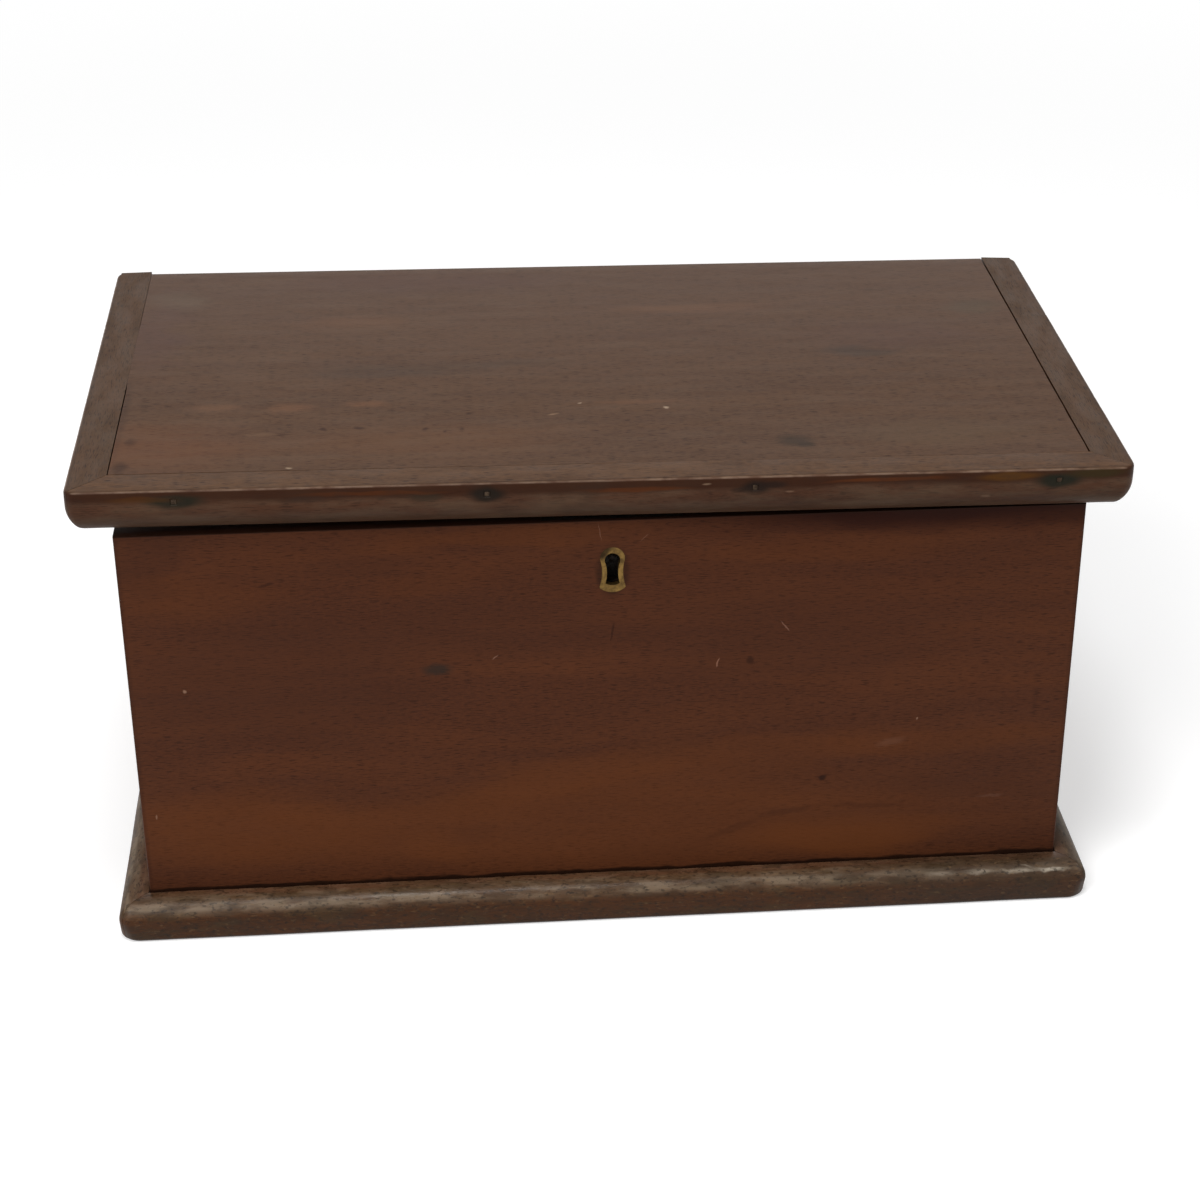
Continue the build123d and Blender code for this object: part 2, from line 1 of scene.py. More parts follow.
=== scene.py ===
"""The looks of an old mahogany document box, piece by piece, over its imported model.

Metres, in the model's own frame: X to the right along the front, Y to the back, Z up.
"""

import math

import bmesh
import bpy
from mathutils import Matrix, Vector, noise


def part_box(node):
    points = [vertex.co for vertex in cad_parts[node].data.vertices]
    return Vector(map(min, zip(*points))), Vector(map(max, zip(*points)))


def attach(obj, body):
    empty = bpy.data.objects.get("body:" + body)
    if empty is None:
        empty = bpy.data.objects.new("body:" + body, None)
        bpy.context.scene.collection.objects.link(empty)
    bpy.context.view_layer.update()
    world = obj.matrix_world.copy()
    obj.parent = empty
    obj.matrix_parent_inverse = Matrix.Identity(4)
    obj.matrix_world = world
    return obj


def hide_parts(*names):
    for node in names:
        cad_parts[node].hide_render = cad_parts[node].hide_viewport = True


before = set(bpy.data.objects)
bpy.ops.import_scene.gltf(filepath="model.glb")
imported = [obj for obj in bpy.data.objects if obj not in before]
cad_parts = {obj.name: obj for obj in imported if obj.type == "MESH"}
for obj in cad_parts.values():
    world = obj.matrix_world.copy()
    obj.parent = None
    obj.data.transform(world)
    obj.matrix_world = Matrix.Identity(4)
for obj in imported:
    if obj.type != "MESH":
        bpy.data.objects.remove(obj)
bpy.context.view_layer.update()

# Front board
# One wide mahogany board, planed by hand, with a thin dark varnish that has worn to a satin. Its
# ends lap the side boards' dovetails, and it is cut through for the key.
mm = 0.001
front_low, front_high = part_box("front_board")
base_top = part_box("base_moulding_front")[1].z
board_thickness = 12 * mm
board_arris = 0.3 * mm
front_corner = 0.9 * mm
weld_distance = 0.002 * mm
flat_angle = math.radians(1)
sharp_angle = math.radians(40)
shading_angle = math.radians(24)


def linear(colour):
    """An sRGB colour, written as six hex digits, as the linear colour that a socket takes."""
    parts = [int(colour[i : i + 2], 16) / 255 for i in (0, 2, 4)]
    return (*(c / 12.92 if c <= 0.04045 else ((c + 0.055) / 1.055) ** 2.4 for c in parts), 1.0)


def node(tree, kind, inputs=None, **settings):
    """Adds a node, makes its settings, and fills its inputs from other nodes, sockets or values."""
    made = tree.nodes.new("ShaderNode" + kind)
    for name, value in settings.items():
        setattr(made, name, value)
    for name, value in (inputs or {}).items():
        if isinstance(name, int):
            socket = made.inputs[name]
        else:
            socket = next(s for s in made.inputs if s.name == name and s.enabled)
        if isinstance(value, bpy.types.Node):
            value = next(s for s in value.outputs if s.enabled)
        if isinstance(value, bpy.types.NodeSocket):
            tree.links.new(value, socket)
        else:
            socket.default_value = value
    return made


def blank(name):
    """A new material with an empty node tree."""
    material = bpy.data.materials.new(name)
    material.use_nodes = True
    material.node_tree.nodes.clear()
    return material, material.node_tree


def board_place(tree, turn, origin):
    """Coordinates of a board: x along its grain, y across its width, z out of its show face."""
    seen = node(tree, "TexCoord").outputs["Object"]
    inputs = {"Vector": seen, "Location": origin, "Rotation": turn}
    return node(tree, "Mapping", inputs, vector_type="TEXTURE")


def rise(tree, place, axis, start, full, smooth=True):
    """0 where a place lies at one level along an axis, growing to 1 where it lies at another."""
    value = node(tree, "SeparateXYZ", {"Vector": place}).outputs[axis]
    limits = {"Value": value, "From Min": start, "From Max": full}
    kind = "SMOOTHSTEP" if smooth else "LINEAR"
    return node(tree, "MapRange", limits, interpolation_type=kind)


def stretched(tree, place, length, width):
    """A place in units of a pattern's size in mm, along the grain and across it."""
    scale = (1 / (length * mm), 1 / (width * mm), 1 / (width * mm))
    return node(tree, "Mapping", {"Vector": place, "Scale": scale})


def mottle(tree, place, length, width, low, high, detail=2.0):
    """Cloudy patches of a size in mm, along the grain and across it: 0 where the cloud is under
    one level, and 1 where it is over another."""
    drawn = stretched(tree, place, length, width)
    inputs = {"Vector": drawn, "Scale": 1.0, "Detail": detail, "Roughness": 0.6}
    cloud = node(tree, "TexNoise", inputs)
    limits = {"Value": cloud, "From Min": low, "From Max": high}
    return node(tree, "MapRange", limits, interpolation_type="SMOOTHSTEP")


def wander(tree, place, length, width, reach):
    """A place pushed about by noise, so that what is drawn on it has a wavy, ragged edge. Its
    sizes are in mm."""
    drawn = stretched(tree, place, length, width)
    swirl = node(tree, "TexNoise", {"Vector": drawn, "Scale": 1.0, "Detail": 3.0})
    centred = {0: swirl.outputs["Color"], 1: (0.5, 0.5, 0.5)}
    push = node(tree, "VectorMath", centred, operation="SUBTRACT")
    pushed = {0: push, 1: Vector(reach) * mm, 2: place}
    return node(tree, "VectorMath", pushed, operation="MULTIPLY_ADD")


def mark(tree, place, middle, reach, turn=0.0, firm=0.3):
    """One mark on a face, by its middle and its reach in mm, along and across the grain."""
    inputs = {
        "Vector": place,
        "Location": (middle[0] * mm, middle[1] * mm, 0),
        "Rotation": (0, 0, math.radians(turn)),
        "Scale": (reach[0] * mm, reach[1] * mm, 1),
    }
    inside = node(tree, "Mapping", inputs, vector_type="TEXTURE")
    away = node(tree, "VectorMath", {0: inside}, operation="LENGTH")
    limits = {"Value": away, "From Min": 1.0, "From Max": firm}
    return node(tree, "MapRange", limits, interpolation_type="SMOOTHSTEP")


def coats(tree, colour, *layers):
    """Lays thin coats over a colour, each by its mask, its strength and its own colour."""
    colour = linear(colour) if isinstance(colour, str) else colour
    for mask, strength, tone in layers:
        amount = node(tree, "Math", {0: mask, 1: strength}, operation="MULTIPLY")
        over = linear(tone) if isinstance(tone, str) else tone
        laid = {"Factor": amount, "A": colour, "B": over}
        colour = node(tree, "Mix", laid, data_type="RGBA")
    return colour


def marked(tree, place, colour, marks, firm=0.3):
    """Lays marks over a colour, each by its middle, reach, turn, strength and own colour."""
    for middle, reach, turn, strength, tone in marks:
        spot = mark(tree, place, middle, reach, turn, firm)
        colour = coats(tree, colour, (spot, strength, tone))
    return colour


def mahogany(tree, place, dark, red, ribbon=24, strength=0.7, tooth=1.0):
    """Mahogany, by its wide ribbons of dark and red wood, fine lines in them, and open pores.

    The eye reads the ribbons from across a room, the lines near by, and the pores, drawn 0.5 mm
    wide where real ones are about 0.2 mm, as a fine tooth along the grain.
    """
    wavy = wander(tree, place, 260, 110, (0, 50, 50))
    ribbons = mottle(tree, wavy, 210, ribbon, 0.36, 0.64, 3.0)
    lines = mottle(tree, wavy, 80, 2, 0.38, 0.72)
    pores = mottle(tree, place, 5, 0.5, 0.52, 0.7, 1.0)
    blotches = mottle(tree, place, 12, 6, 0.46, 0.68, 3.0)
    fleck = mottle(tree, place, 2.2, 1.2, 0.35, 0.7, 1.0)
    colour = coats(
        tree,
        dark,
        (ribbons, strength, red),
        (lines, 0.3, dark),
        (blotches, 0.3, dark),
        (fleck, 0.3 * tooth, red),
        (pores, 0.45 * tooth, "1c0e09"),
    )
    return colour, pores


def varnish(tree, place, colour, pores, roughness, shine):
    """Old thin varnish: a satin that is dull where it has gone, with the pores open through it."""
    worn = mottle(tree, place, 26, 9, 0.35, 0.65, 5.0)
    limits = {"Value": worn, "To Min": roughness[0], "To Max": roughness[1]}
    dull = node(tree, "MapRange", limits)
    plane_marks = mottle(tree, place, 60, 12, 0.2, 0.8, 1.0)
    height = {0: pores, 1: -0.7, 2: plane_marks}
    height = node(tree, "Math", height, operation="MULTIPLY_ADD")
    bump = node(tree, "Bump", {"Strength": 0.5, "Distance": 0.07 * mm, "Height": height})
    inputs = {"Base Color": colour, "Roughness": dull, "Specular IOR Level": shine, "Normal": bump}
    shader = node(tree, "BsdfPrincipled", inputs)
    node(tree, "OutputMaterial", {"Surface": shader})


def carcass_coats(tree, place, colour, half_length, rim_dirt_and_shade=(0.7, "3a241a"), dirty=0.85):
    """Lays what the carcass boards share: dirt that has settled along the top of the base
    moulding, a bare inside, a rim darkened by dirt (on the front board also by painted shade of
    the gap under the lid), and dark end grain."""
    wavy = wander(tree, place, 14, 3, (0, 4, 0))
    dirt = rise(tree, wavy, "Y", base_top + 1.8 * mm, base_top + 0.5 * mm)
    inner = rise(tree, place, "Z", 0.5 * mm - board_thickness, 0.2 * mm - board_thickness, False)
    rim = rise(tree, place, "Y", front_high.z - 0.5 * mm, front_high.z - 0.2 * mm, False)
    out = node(tree, "VectorMath", {0: place}, operation="ABSOLUTE")
    end = rise(tree, out, "X", half_length - 2.4 * mm, half_length - 0.2 * mm, False)
    bare, _ = mahogany(tree, place, "5f4230", "8a6246", 34)
    return coats(
        tree,
        colour,
        (dirt, dirty, "120a07"),
        (inner, 1.0, bare),
        (rim, *rim_dirt_and_shade),
        (end, 0.5, "2a1710"),
    )


def joined_copy(name):
    """A bmesh of a node's shape, with its loose triangles merged and its flat faces made whole."""
    bm = bmesh.new()
    bm.from_mesh(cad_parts[name].data)
    bmesh.ops.remove_doubles(bm, verts=bm.verts, dist=weld_distance)
    bmesh.ops.dissolve_limit(bm, angle_limit=flat_angle, verts=bm.verts, edges=bm.edges)
    return bm


def rounded(bm, parts, radius, facets, affect="EDGES", clamp=False):
    """Rounds some of a mesh's edges or corners."""
    bmesh.ops.bevel(
        bm,
        geom=parts,
        offset=radius,
        segments=facets,
        profile=0.5,
        affect=affect,
        material=-1,
        clamp_overlap=clamp,
    )


def soften(bm, width, least=3 * mm, where=None):
    """Takes the sharpness off the arrises that are longer than a given length."""
    sharp = []
    for edge in bm.edges:
        if len(edge.link_faces) == 2 and edge.calc_length() > least:
            middle = (edge.verts[0].co + edge.verts[1].co) / 2
            if edge.calc_face_angle() > sharp_angle and (where is None or where(middle)):
                sharp.append(edge)
    rounded(bm, sharp, width, 2, clamp=True)


def finished(bm, name, body, material, slot, *nodes):
    """Makes the piece's object, and says what it rides on and the nodes it stands for. Its slot is
    not used.
    """
    mesh = bpy.data.meshes.new(name)
    for face in bm.faces:
        face.smooth = True
    for edge in bm.edges:
        if len(edge.link_faces) == 2:
            edge.smooth = edge.calc_face_angle() < shading_angle
    bm.to_mesh(mesh)
    bm.free()
    mesh.materials.append(material)
    piece = bpy.data.objects.new(name, mesh)
    bpy.context.scene.collection.objects.link(piece)
    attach(piece, body)
    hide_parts(*nodes)


# The board's figure: where its wood is darker and purplish, and where it is orange. Each patch is
# its middle, right of the board's middle and above the floor, its reach, its turn and its strength.
dark_figure = (
    ((-150, 128), (110, 46), 2, 0.7),
    ((-42, 152), (80, 24), -4, 0.45),
    ((80, 142), (110, 34), 0, 0.45),
    ((-198, 188), (18, 26), 0, 0.6),
    ((-60, 45), (14, 12), 0, 0.4),
    ((168, 59), (60, 12), -3, 0.5),
    ((22, 31), (38, 10), 6, 0.5),
    ((188, 36), (32, 13), -10, 0.2),
    ((-105, 187), (34, 9), 4, 0.35),
    ((108, 36), (80, 20), 0, 0.4),
)
orange_figure = (
    ((-176, 172), (48, 17), 0, 0.35),
    ((-78, 177), (36, 9), 6, 0.25),
    ((-44, 197), (80, 6), 0, 0.5),
    ((-165, 52), (90, 28), -4, 0.6),
    ((0, 44), (260, 36), 0, 0.6),
    ((-22, 70), (90, 16), 12, 0.5),
    ((-78, 37), (20, 12), 0, 0.35),
    ((112, 184), (90, 10), 0, 0.3),
    ((150, 83), (80, 11), 0, 0.45),
    ((72, 78), (80, 13), 5, 0.4),
    ((110, 33), (66, 16), 0, 0.9),
)
# The board's scars, with their own colours too.
front_scars = (
    ((-76, 130.5), (8.5, 4.6), 0, 0.75, "29241f"),
    ((64.5, 129.3), (2.8, 2.5), 0, 0.6, "20100b"),
    ((99.6, 65.4), (3.0, 2.3), 0, 0.8, "20100b"),
    ((2.2, 146.5), (0.8, 6.5), -8, 0.5, "20100b"),
    ((-149, 176), (5.0, 1.3), 10, 0.5, "20100b"),
    ((58, 39), (18, 2.6), 24, 0.22, "2e160d"),
    ((84, 47.5), (20, 2.4), 8, 0.28, "2e160d"),
    ((120, 49), (26, 2.2), -4, 0.26, "2e160d"),
    ((80.3, 146.1), (4.4, 0.45), -52, 0.4, "a87c68"),
    ((50.0, 128.4), (3.0, 0.5), 84, 0.45, "b4826a"),
    ((-2.9, 196.5), (5.5, 0.35), 100, 0.25, "a87a64"),
    ((16.7, 193.0), (3.6, 0.35), 42, 0.2, "a87a64"),
    ((-50.1, 136.0), (2.2, 0.5), 40, 0.35, "b08570"),
    ((-187.9, 124.3), (1.0, 1.2), 0, 0.5, "b08a72"),
    ((-205.8, 59.3), (0.5, 1.6), 0, 0.4, "b08a72"),
    ((142.9, 95.2), (0.6, 1.0), 0, 0.5, "b08a72"),
    ((130.6, 82.9), (9.0, 3.0), 14, 0.07, "b08570"),
    ((179.5, 51.5), (9.0, 1.2), 4, 0.07, "b08570"),
)


def front_board_wood():
    """The show board, with its figure, its scars, and dark polish round the escutcheon. Painted
    shade darkens it towards the top, a painted shadow of the lid lies along its top edge, and
    the walls of the keyhole are painted black as shade.
    """
    material, tree = blank("varnished_mahogany_front")
    place = board_place(tree, (math.radians(90), 0, 0), (0, front_low.y, 0))
    colour, pores = mahogany(tree, place, "4c2b1c", "5e351f", 20, 0.6, 1.2)
    figured = wander(tree, place, 70, 16, (45, 22, 0))
    for figure, tone in ((dark_figure, "40251a"), (orange_figure, "6a3a1b")):
        for middle, reach, turn, strength in figure:
            patch = mark(tree, figured, middle, reach, turn, 0.35)
            colour = coats(tree, colour, (patch, 0.6 * strength, tone))
    ragged = wander(tree, place, 5, 5, (3, 3, 0))
    colour = marked(tree, ragged, colour, front_scars)
    # Painted shade: the board darkens towards the top, and a painted shadow of the lid lies along
    # its top edge.
    high = rise(tree, figured, "Y", 120 * mm, 205 * mm, False)
    shade = mark(tree, figured, (150, 207), (160, 24), 0, 0.3)
    round_key = mark(tree, ragged, (2.5, 177), (9, 14.5), 0, 0.62)
    colour = coats(
        tree,
        colour,
        (high, 0.22, "361b0e"),
        (shade, 0.92, "240a04"),
        (round_key, 0.6, "24150c"),
    )
    # Its rim is darker than the other boards': dirt, and painted shade of the gap under the lid.
    colour = carcass_coats(tree, place, colour, front_high.x, (0.8, "2b1a12"))
    # Painted shade: the walls of the keyhole are painted near black.
    painted_keyhole_shade = mark(tree, place, (2.5, 179), (6.5, 10.5), 0, 0.9)
    sunk = rise(tree, place, "Z", -0.1 * mm, -0.5 * mm, False)
    painted_keyhole_shade = node(tree, "Math", {0: painted_keyhole_shade, 1: sunk}, operation="MULTIPLY")
    colour = coats(tree, colour, (painted_keyhole_shade, 1.0, "080504"))
    varnish(tree, place, colour, pores, (0.47, 0.54), 0.07)
    return material


def at_outer_corner(point):
    """Whether a point lies on one of the board's two upright arrises at the front."""
    return point.y < front_low.y + mm and abs(point.x) > front_high.x - mm


bm = joined_copy("front_board")
soften(bm, front_corner, where=at_outer_corner)
soften(bm, board_arris)
finished(bm, "front_board_worn", "carcass", front_board_wood(), "carcass_wood", "front_board")

# Side boards
# Two mahogany boards with dovetails cut on their ends, varnished like the front and rubbed paler
# where hands have carried the box.
side_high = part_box("right_side_board")[1]


def side_board_wood(name, sign):
    """Mahogany whose grain runs from front to back, with the tails' end grain at the back."""
    material, tree = blank(name)
    turn = (math.radians(90), 0, sign * math.radians(90))
    place = board_place(tree, turn, (sign * side_high.x, 0, 0))
    colour, pores = mahogany(tree, place, "47291b", "5c351f", 24, 0.8, 1.2)
    ragged = wander(tree, place, 60, 16, (50, 30, 0))
    rubbed = mark(tree, ragged, (0, 125), (90, 40))
    smoke = mottle(tree, place, 90, 18, 0.45, 0.7, 4.0)
    scuffs = mottle(tree, place, 8, 2, 0.66, 0.74, 3.0)
    colour = coats(
        tree,
        colour,
        (rubbed, 0.25, "7a4c34"),
        (smoke, 0.4, "38231a"),
        (scuffs, 0.3, "8f6a54"),
    )
    colour = carcass_coats(tree, place, colour, side_high.y)
    varnish(tree, place, colour, pores, (0.49, 0.55), 0.08)
    return material


for side, sign in (("left", -1), ("right", 1)):
    bm = joined_copy(f"{side}_side_board")
    soften(bm, board_arris / 2)
    wood = side_board_wood(f"varnished_mahogany_{side}_side", sign)
    finished(bm, f"{side}_side_board_worn", "carcass", wood, "carcass_wood", f"{side}_side_board")

# Back board
# A plainer mahogany board between the side boards' through dovetails, which stood against a wall:
# less varnish, more dust, and a dull face.
back_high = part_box("back_board")[1]


def back_board_wood():
    """Dull mahogany with a dusty film that lies thickest near the floor."""
    material, tree = blank("dull_mahogany_back")
    turn = (math.radians(90), 0, math.radians(180))
    place = board_place(tree, turn, (0, back_high.y, 0))
    colour, pores = mahogany(tree, place, "472c1f", "5c3a27", 30, 0.8, 1.2)
    dust = mottle(tree, place, 110, 22, 0.42, 0.7, 5.0)
    stain = mottle(tree, place, 38, 16, 0.58, 0.7, 5.0)
    scrapes = mottle(tree, place, 22, 1.2, 0.68, 0.75, 2.0)
    low = rise(tree, place, "Y", 80 * mm, 5 * mm)
    colour = coats(
        tree,
        colour,
        (dust, 0.3, "665040"),
        (stain, 0.45, "2f1f18"),
        (scrapes, 0.3, "8f705a"),
        (low, 0.3, "665040"),
    )
    colour = carcass_coats(tree, place, colour, back_high.x, dirty=0.0)
    varnish(tree, place, colour, pores, (0.6, 0.75), 0.08)
    return material


bm = joined_copy("back_board")
soften(bm, board_arris / 2)
finished(bm, "back_board_dull", "carcass", back_board_wood(), "carcass_wood", "back_board")

# Bottom board and its nails
# One pine board under the carcass, never finished, browned by age and handling, and held by cut
# iron nails gone to rust.
bottom_arris = 0.6 * mm
bottom_least_arris = 100 * mm


def bare_pine():
    """Old pine: straight bands of soft pale wood and hard dark wood, grey-brown with age."""
    material, tree = blank("bare_pine")
    place = board_place(tree, (0, 0, 0), (0, 0, 0))
    bands = mottle(tree, place, 600, 6, 0.42, 0.6)
    fibres = mottle(tree, place, 30, 0.8, 0.3, 0.7)
    dirt = mottle(tree, place, 60, 50, 0.42, 0.7, 4.0)
    colour = coats(
        tree,
        "9a7450",
        (bands, 0.9, "6b4629"),
        (fibres, 0.25, "5a3c25"),
        (dirt, 0.45, "3f2f24"),
    )
    varnish(tree, place, colour, fibres, (0.75, 0.9), 0.2)
    return material


def rusted_iron(name, brown, grey, bare):
    """Wrought iron gone dark, with brown rust in low places and a dull rubbed sheen on high ones,
    as metallic as the share of it that is bare."""
    material, tree = blank(name)
    place = node(tree, "TexCoord").outputs["Object"]
    rust = mottle(tree, place, 3, 3, 0.4, 0.6, 4.0)
    pits = mottle(tree, place, 0.7, 0.7, 0.45, 0.7)
    colour = coats(tree, grey, (rust, 1.0, brown), (pits, 0.4, "1d1410"))
    rough = {"Value": rust, "To Min": 0.75 - 0.35 * bare, "To Max": 0.85}
    rough = node(tree, "MapRange", rough)
    metal = node(tree, "MapRange", {"Value": rust, "To Min": bare, "To Max": 0.25 * bare})
    bump = {"Strength": 0.5, "Distance": 0.1 * mm, "Height": pits}
    bump = node(tree, "Bump", bump, invert=True)
    inputs = {"Base Color": colour, "Metallic": metal, "Roughness": rough, "Normal": bump}
    inputs["Specular IOR Level"] = 0.15
    shader = node(tree, "BsdfPrincipled", inputs)
    node(tree, "OutputMaterial", {"Surface": shader})
    return material


def dress(material, *names):
    """Gives a finish to nodes whose shape is right as it is."""
    for name in names:
        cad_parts[name].material_slots[0].material = material


bm = joined_copy("bottom_board")
soften(bm, bottom_arris, bottom_least_arris)
finished(bm, "bottom_board_aged", "carcass", bare_pine(), "bottom_wood", "bottom_board")
nail_iron = rusted_iron("rusted_nail_iron", "382b20", "4e3f31", 0.1)
dress(nail_iron, "bottom_nails")

# Base mouldings
# Three lengths of mahogany moulding, run with a plane to a quarter round and mitred round the
# carcass's foot. They take the knocks: the round is rubbed and dented, and dirt fills the joint.
base_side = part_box("base_moulding_right")[1].x
base_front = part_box("base_moulding_front")[0].y
base_depth = front_low.y - base_front
base_round = 9.5 * mm
base_heel = 2.0 * mm
base_corner = 6.0 * mm
base_flare = 4.0 * mm
base_length = 2 * base_side
base_side_length = back_high.y - base_front
base_slice = 2.5 * mm
base_wear = (1.6 * mm, 0.7 * mm)
base_sway = (45 * mm, 0.25 * mm)
joint_round = 0.6 * mm
cut_tolerance = 0.001 * mm
end_slices = 6
flare_height = 8 * mm
rub_length = 16 * mm
chip_length = 3.5 * mm
chip_start = 0.25
chip_growth = 2.2
# Reach of a mark that runs the whole length, in mm.
whole_length = 9999


def moulding(section, rounds, length):
    """A length of moulding, from its section's corners in from the outer face and up, and the
    radius and facets of each corner's round."""
    bm = bmesh.new()
    corners = [bm.verts.new((0, y, z)) for y, z in section]
    bm.faces.new(corners)
    for corner, (radius, facets) in zip(corners, rounds):
        if radius:
            rounded(bm, [corner], radius, facets, "VERTICES")
    pulled = bmesh.ops.extrude_face_region(bm, geom=bm.faces[:])["geom"]
    ends = [part for part in pulled if isinstance(part, bmesh.types.BMVert)]
    bmesh.ops.translate(bm, verts=ends, vec=(length, 0, 0))
    bmesh.ops.recalc_face_normals(bm, faces=bm.faces)
    return bm


def cut(bm, point, direction, keep_both=True):
    """Cuts the mesh by a plane. Where one side goes, the cut is closed again."""
    made = bmesh.ops.bisect_plane(
        bm,
        geom=bm.verts[:] + bm.edges[:] + bm.faces[:],
        dist=cut_tolerance,
        plane_co=point,
        plane_no=direction,
        clear_outer=not keep_both,
    )
    if not keep_both:
        rim = [part for part in made["geom_cut"] if isinstance(part, bmesh.types.BMEdge)]
        bmesh.ops.edgeloop_fill(bm, edges=rim)


def mitre(bm, start, length):
    """Cuts an end at 45 degrees, from the outer face in."""
    if start:
        cut(bm, (0, 0, 0), (-1, 1, 0), keep_both=False)
    else:
        cut(bm, (length, 0, 0), (1, 1, 0), keep_both=False)


def slices(bm, length, step, corner):
    """Crosses the moulding with fine slices, closer together at its rounded ends."""
    places = [step * (i + 1) for i in range(int(length / step) - 1)]
    ends = [corner * (i + 0.5) / end_slices for i in range(end_slices)]
    places += ends + [length - place for place in ends]
    for place in sorted(places):
        cut(bm, (place, 0, 0), (1, 0, 0))


def round_end(bm, end, inward, radius, flare=0.0):
    """Rounds an outer corner as seen from above: squares about it become circles. The flare is
    how much rounder it has been knocked at its foot."""
    for vert in bm.verts:
        reach = radius + flare * max(0.0, 1 - vert.co.z / flare_height)
        along = (vert.co.x - end) * inward
        if along < reach and vert.co.y < reach:
            x, y = reach - along, reach - vert.co.y
            shrink = max(x, y) / math.hypot(x, y)
            vert.co.x = end + inward * (reach - x * shrink)
            vert.co.y = reach - y * shrink


def rub(bm, y, z, reach, depth, seed):
    """Rubs and chips the arris that runs along the moulding at a place in its section."""
    bm.normal_update()
    for vert in bm.verts:
        away = math.hypot(vert.co.y - y, vert.co.z - z) / reach
        if away < 1:
            x = vert.co.x
            rubbed = 0.4 + 0.4 * noise.noise((x / rub_length, seed, 0))
            chip = noise.noise((x / chip_length, seed, 9.0))
            chipped = chip_growth * max(0, chip - chip_start)
            vert.co -= vert.normal * depth * (rubbed + chipped) * (1 - away)


def sway(bm, size, depth, seed):
    """Makes the surface a little uneven, as hand tools and long wear leave it."""
    bm.normal_update()
    for vert in bm.verts:
        uneven = noise.noise(vert.co / size + Vector((seed, seed, seed)))
        vert.co -= vert.normal * depth * (0.5 + 0.5 * uneven)


def dent(bm, x, y, z, reach, depth):
    """Presses a shallow dent into the surface."""
    middle = Vector((x, y, z))
    bm.normal_update()
    for vert in bm.verts:
        away = (vert.co - middle).length / reach
        if away < 1:
            vert.co -= vert.normal * depth * (1 - away * away) ** 2


def lay(bm, origin, along, inward, turn=Matrix.Identity(4)):
    """Lays a moulding down with its outer lower arris at the origin."""
    axes = Matrix((along, inward, (0, 0, 1))).transposed().to_4x4()
    bm.transform(turn @ Matrix.Translation(origin) @ axes)


base_section = ((0, 0), (0, base_top), (base_depth, base_top), (base_depth, 0))
base_rounds = ((base_heel, 4), (base_round, 16), (joint_round, 3), (0, 0))
# Dents: share of the length, distance in from the outer face, height, reach and depth.
base_dents = (
    (0.83, 2.6, 16.0, 2.4, 0.6),
    (0.88, 2.0, 15.6, 2.8, 0.7),
    (0.915, 2.4, 15.8, 3.0, 0.6),
    (0.955, 2.2, 15.6, 2.2, 0.5),
    (0.71, 2.4, 15.8, 2.6, 0.5),
    (0.62, 1.2, 13.6, 2.6, 0.5),
    (0.53, 9.5, 18.7, 3.4, 0.9),
    (0.36, 0.6, 12.0, 2.8, 0.5),
    (0.29, 0.2, 5.0, 2.6, 0.4),
    (0.17, 2.8, 16.0, 2.6, 0.5),
    (0.48, 0.2, 7.0, 2.2, 0.4),
    (0.78, 0.2, 4.0, 3.0, 0.5),
)
# The front length's marks: along it and in from its outer face, reach, turn, strength and colour.
# Its right end is darker, the pale marks along the round and on the ledge are painted glints,
# and the small black one is a pit.
base_marks_and_painted_glints = (
    ((185, 6), (110, 18), 0, 0.5, "2e241b"),
    ((157, 3.2), (10, 1.2), 0, 0.3, "9d9080"),
    ((174, 3.2), (11, 1.2), 0, 0.4, "a89b8a"),
    ((194, 3.0), (13, 1.2), 0, 0.45, "b3a795"),
    ((197, 4.6), (4, 0.6), -14, 0.4, "a89b8a"),
    ((210, 2.8), (9, 1.0), 0, 0.55, "c9beac"),
    ((177, 3.2), (1.0, 1.0), 0, 0.8, "1b130c"),
    ((221, 10.0), (3, 1.0), 0, 0.4, "9a8470"),
)
side_base_marks = (((20, 6), (260, 30), 0, 0.65, "2b241a"),)


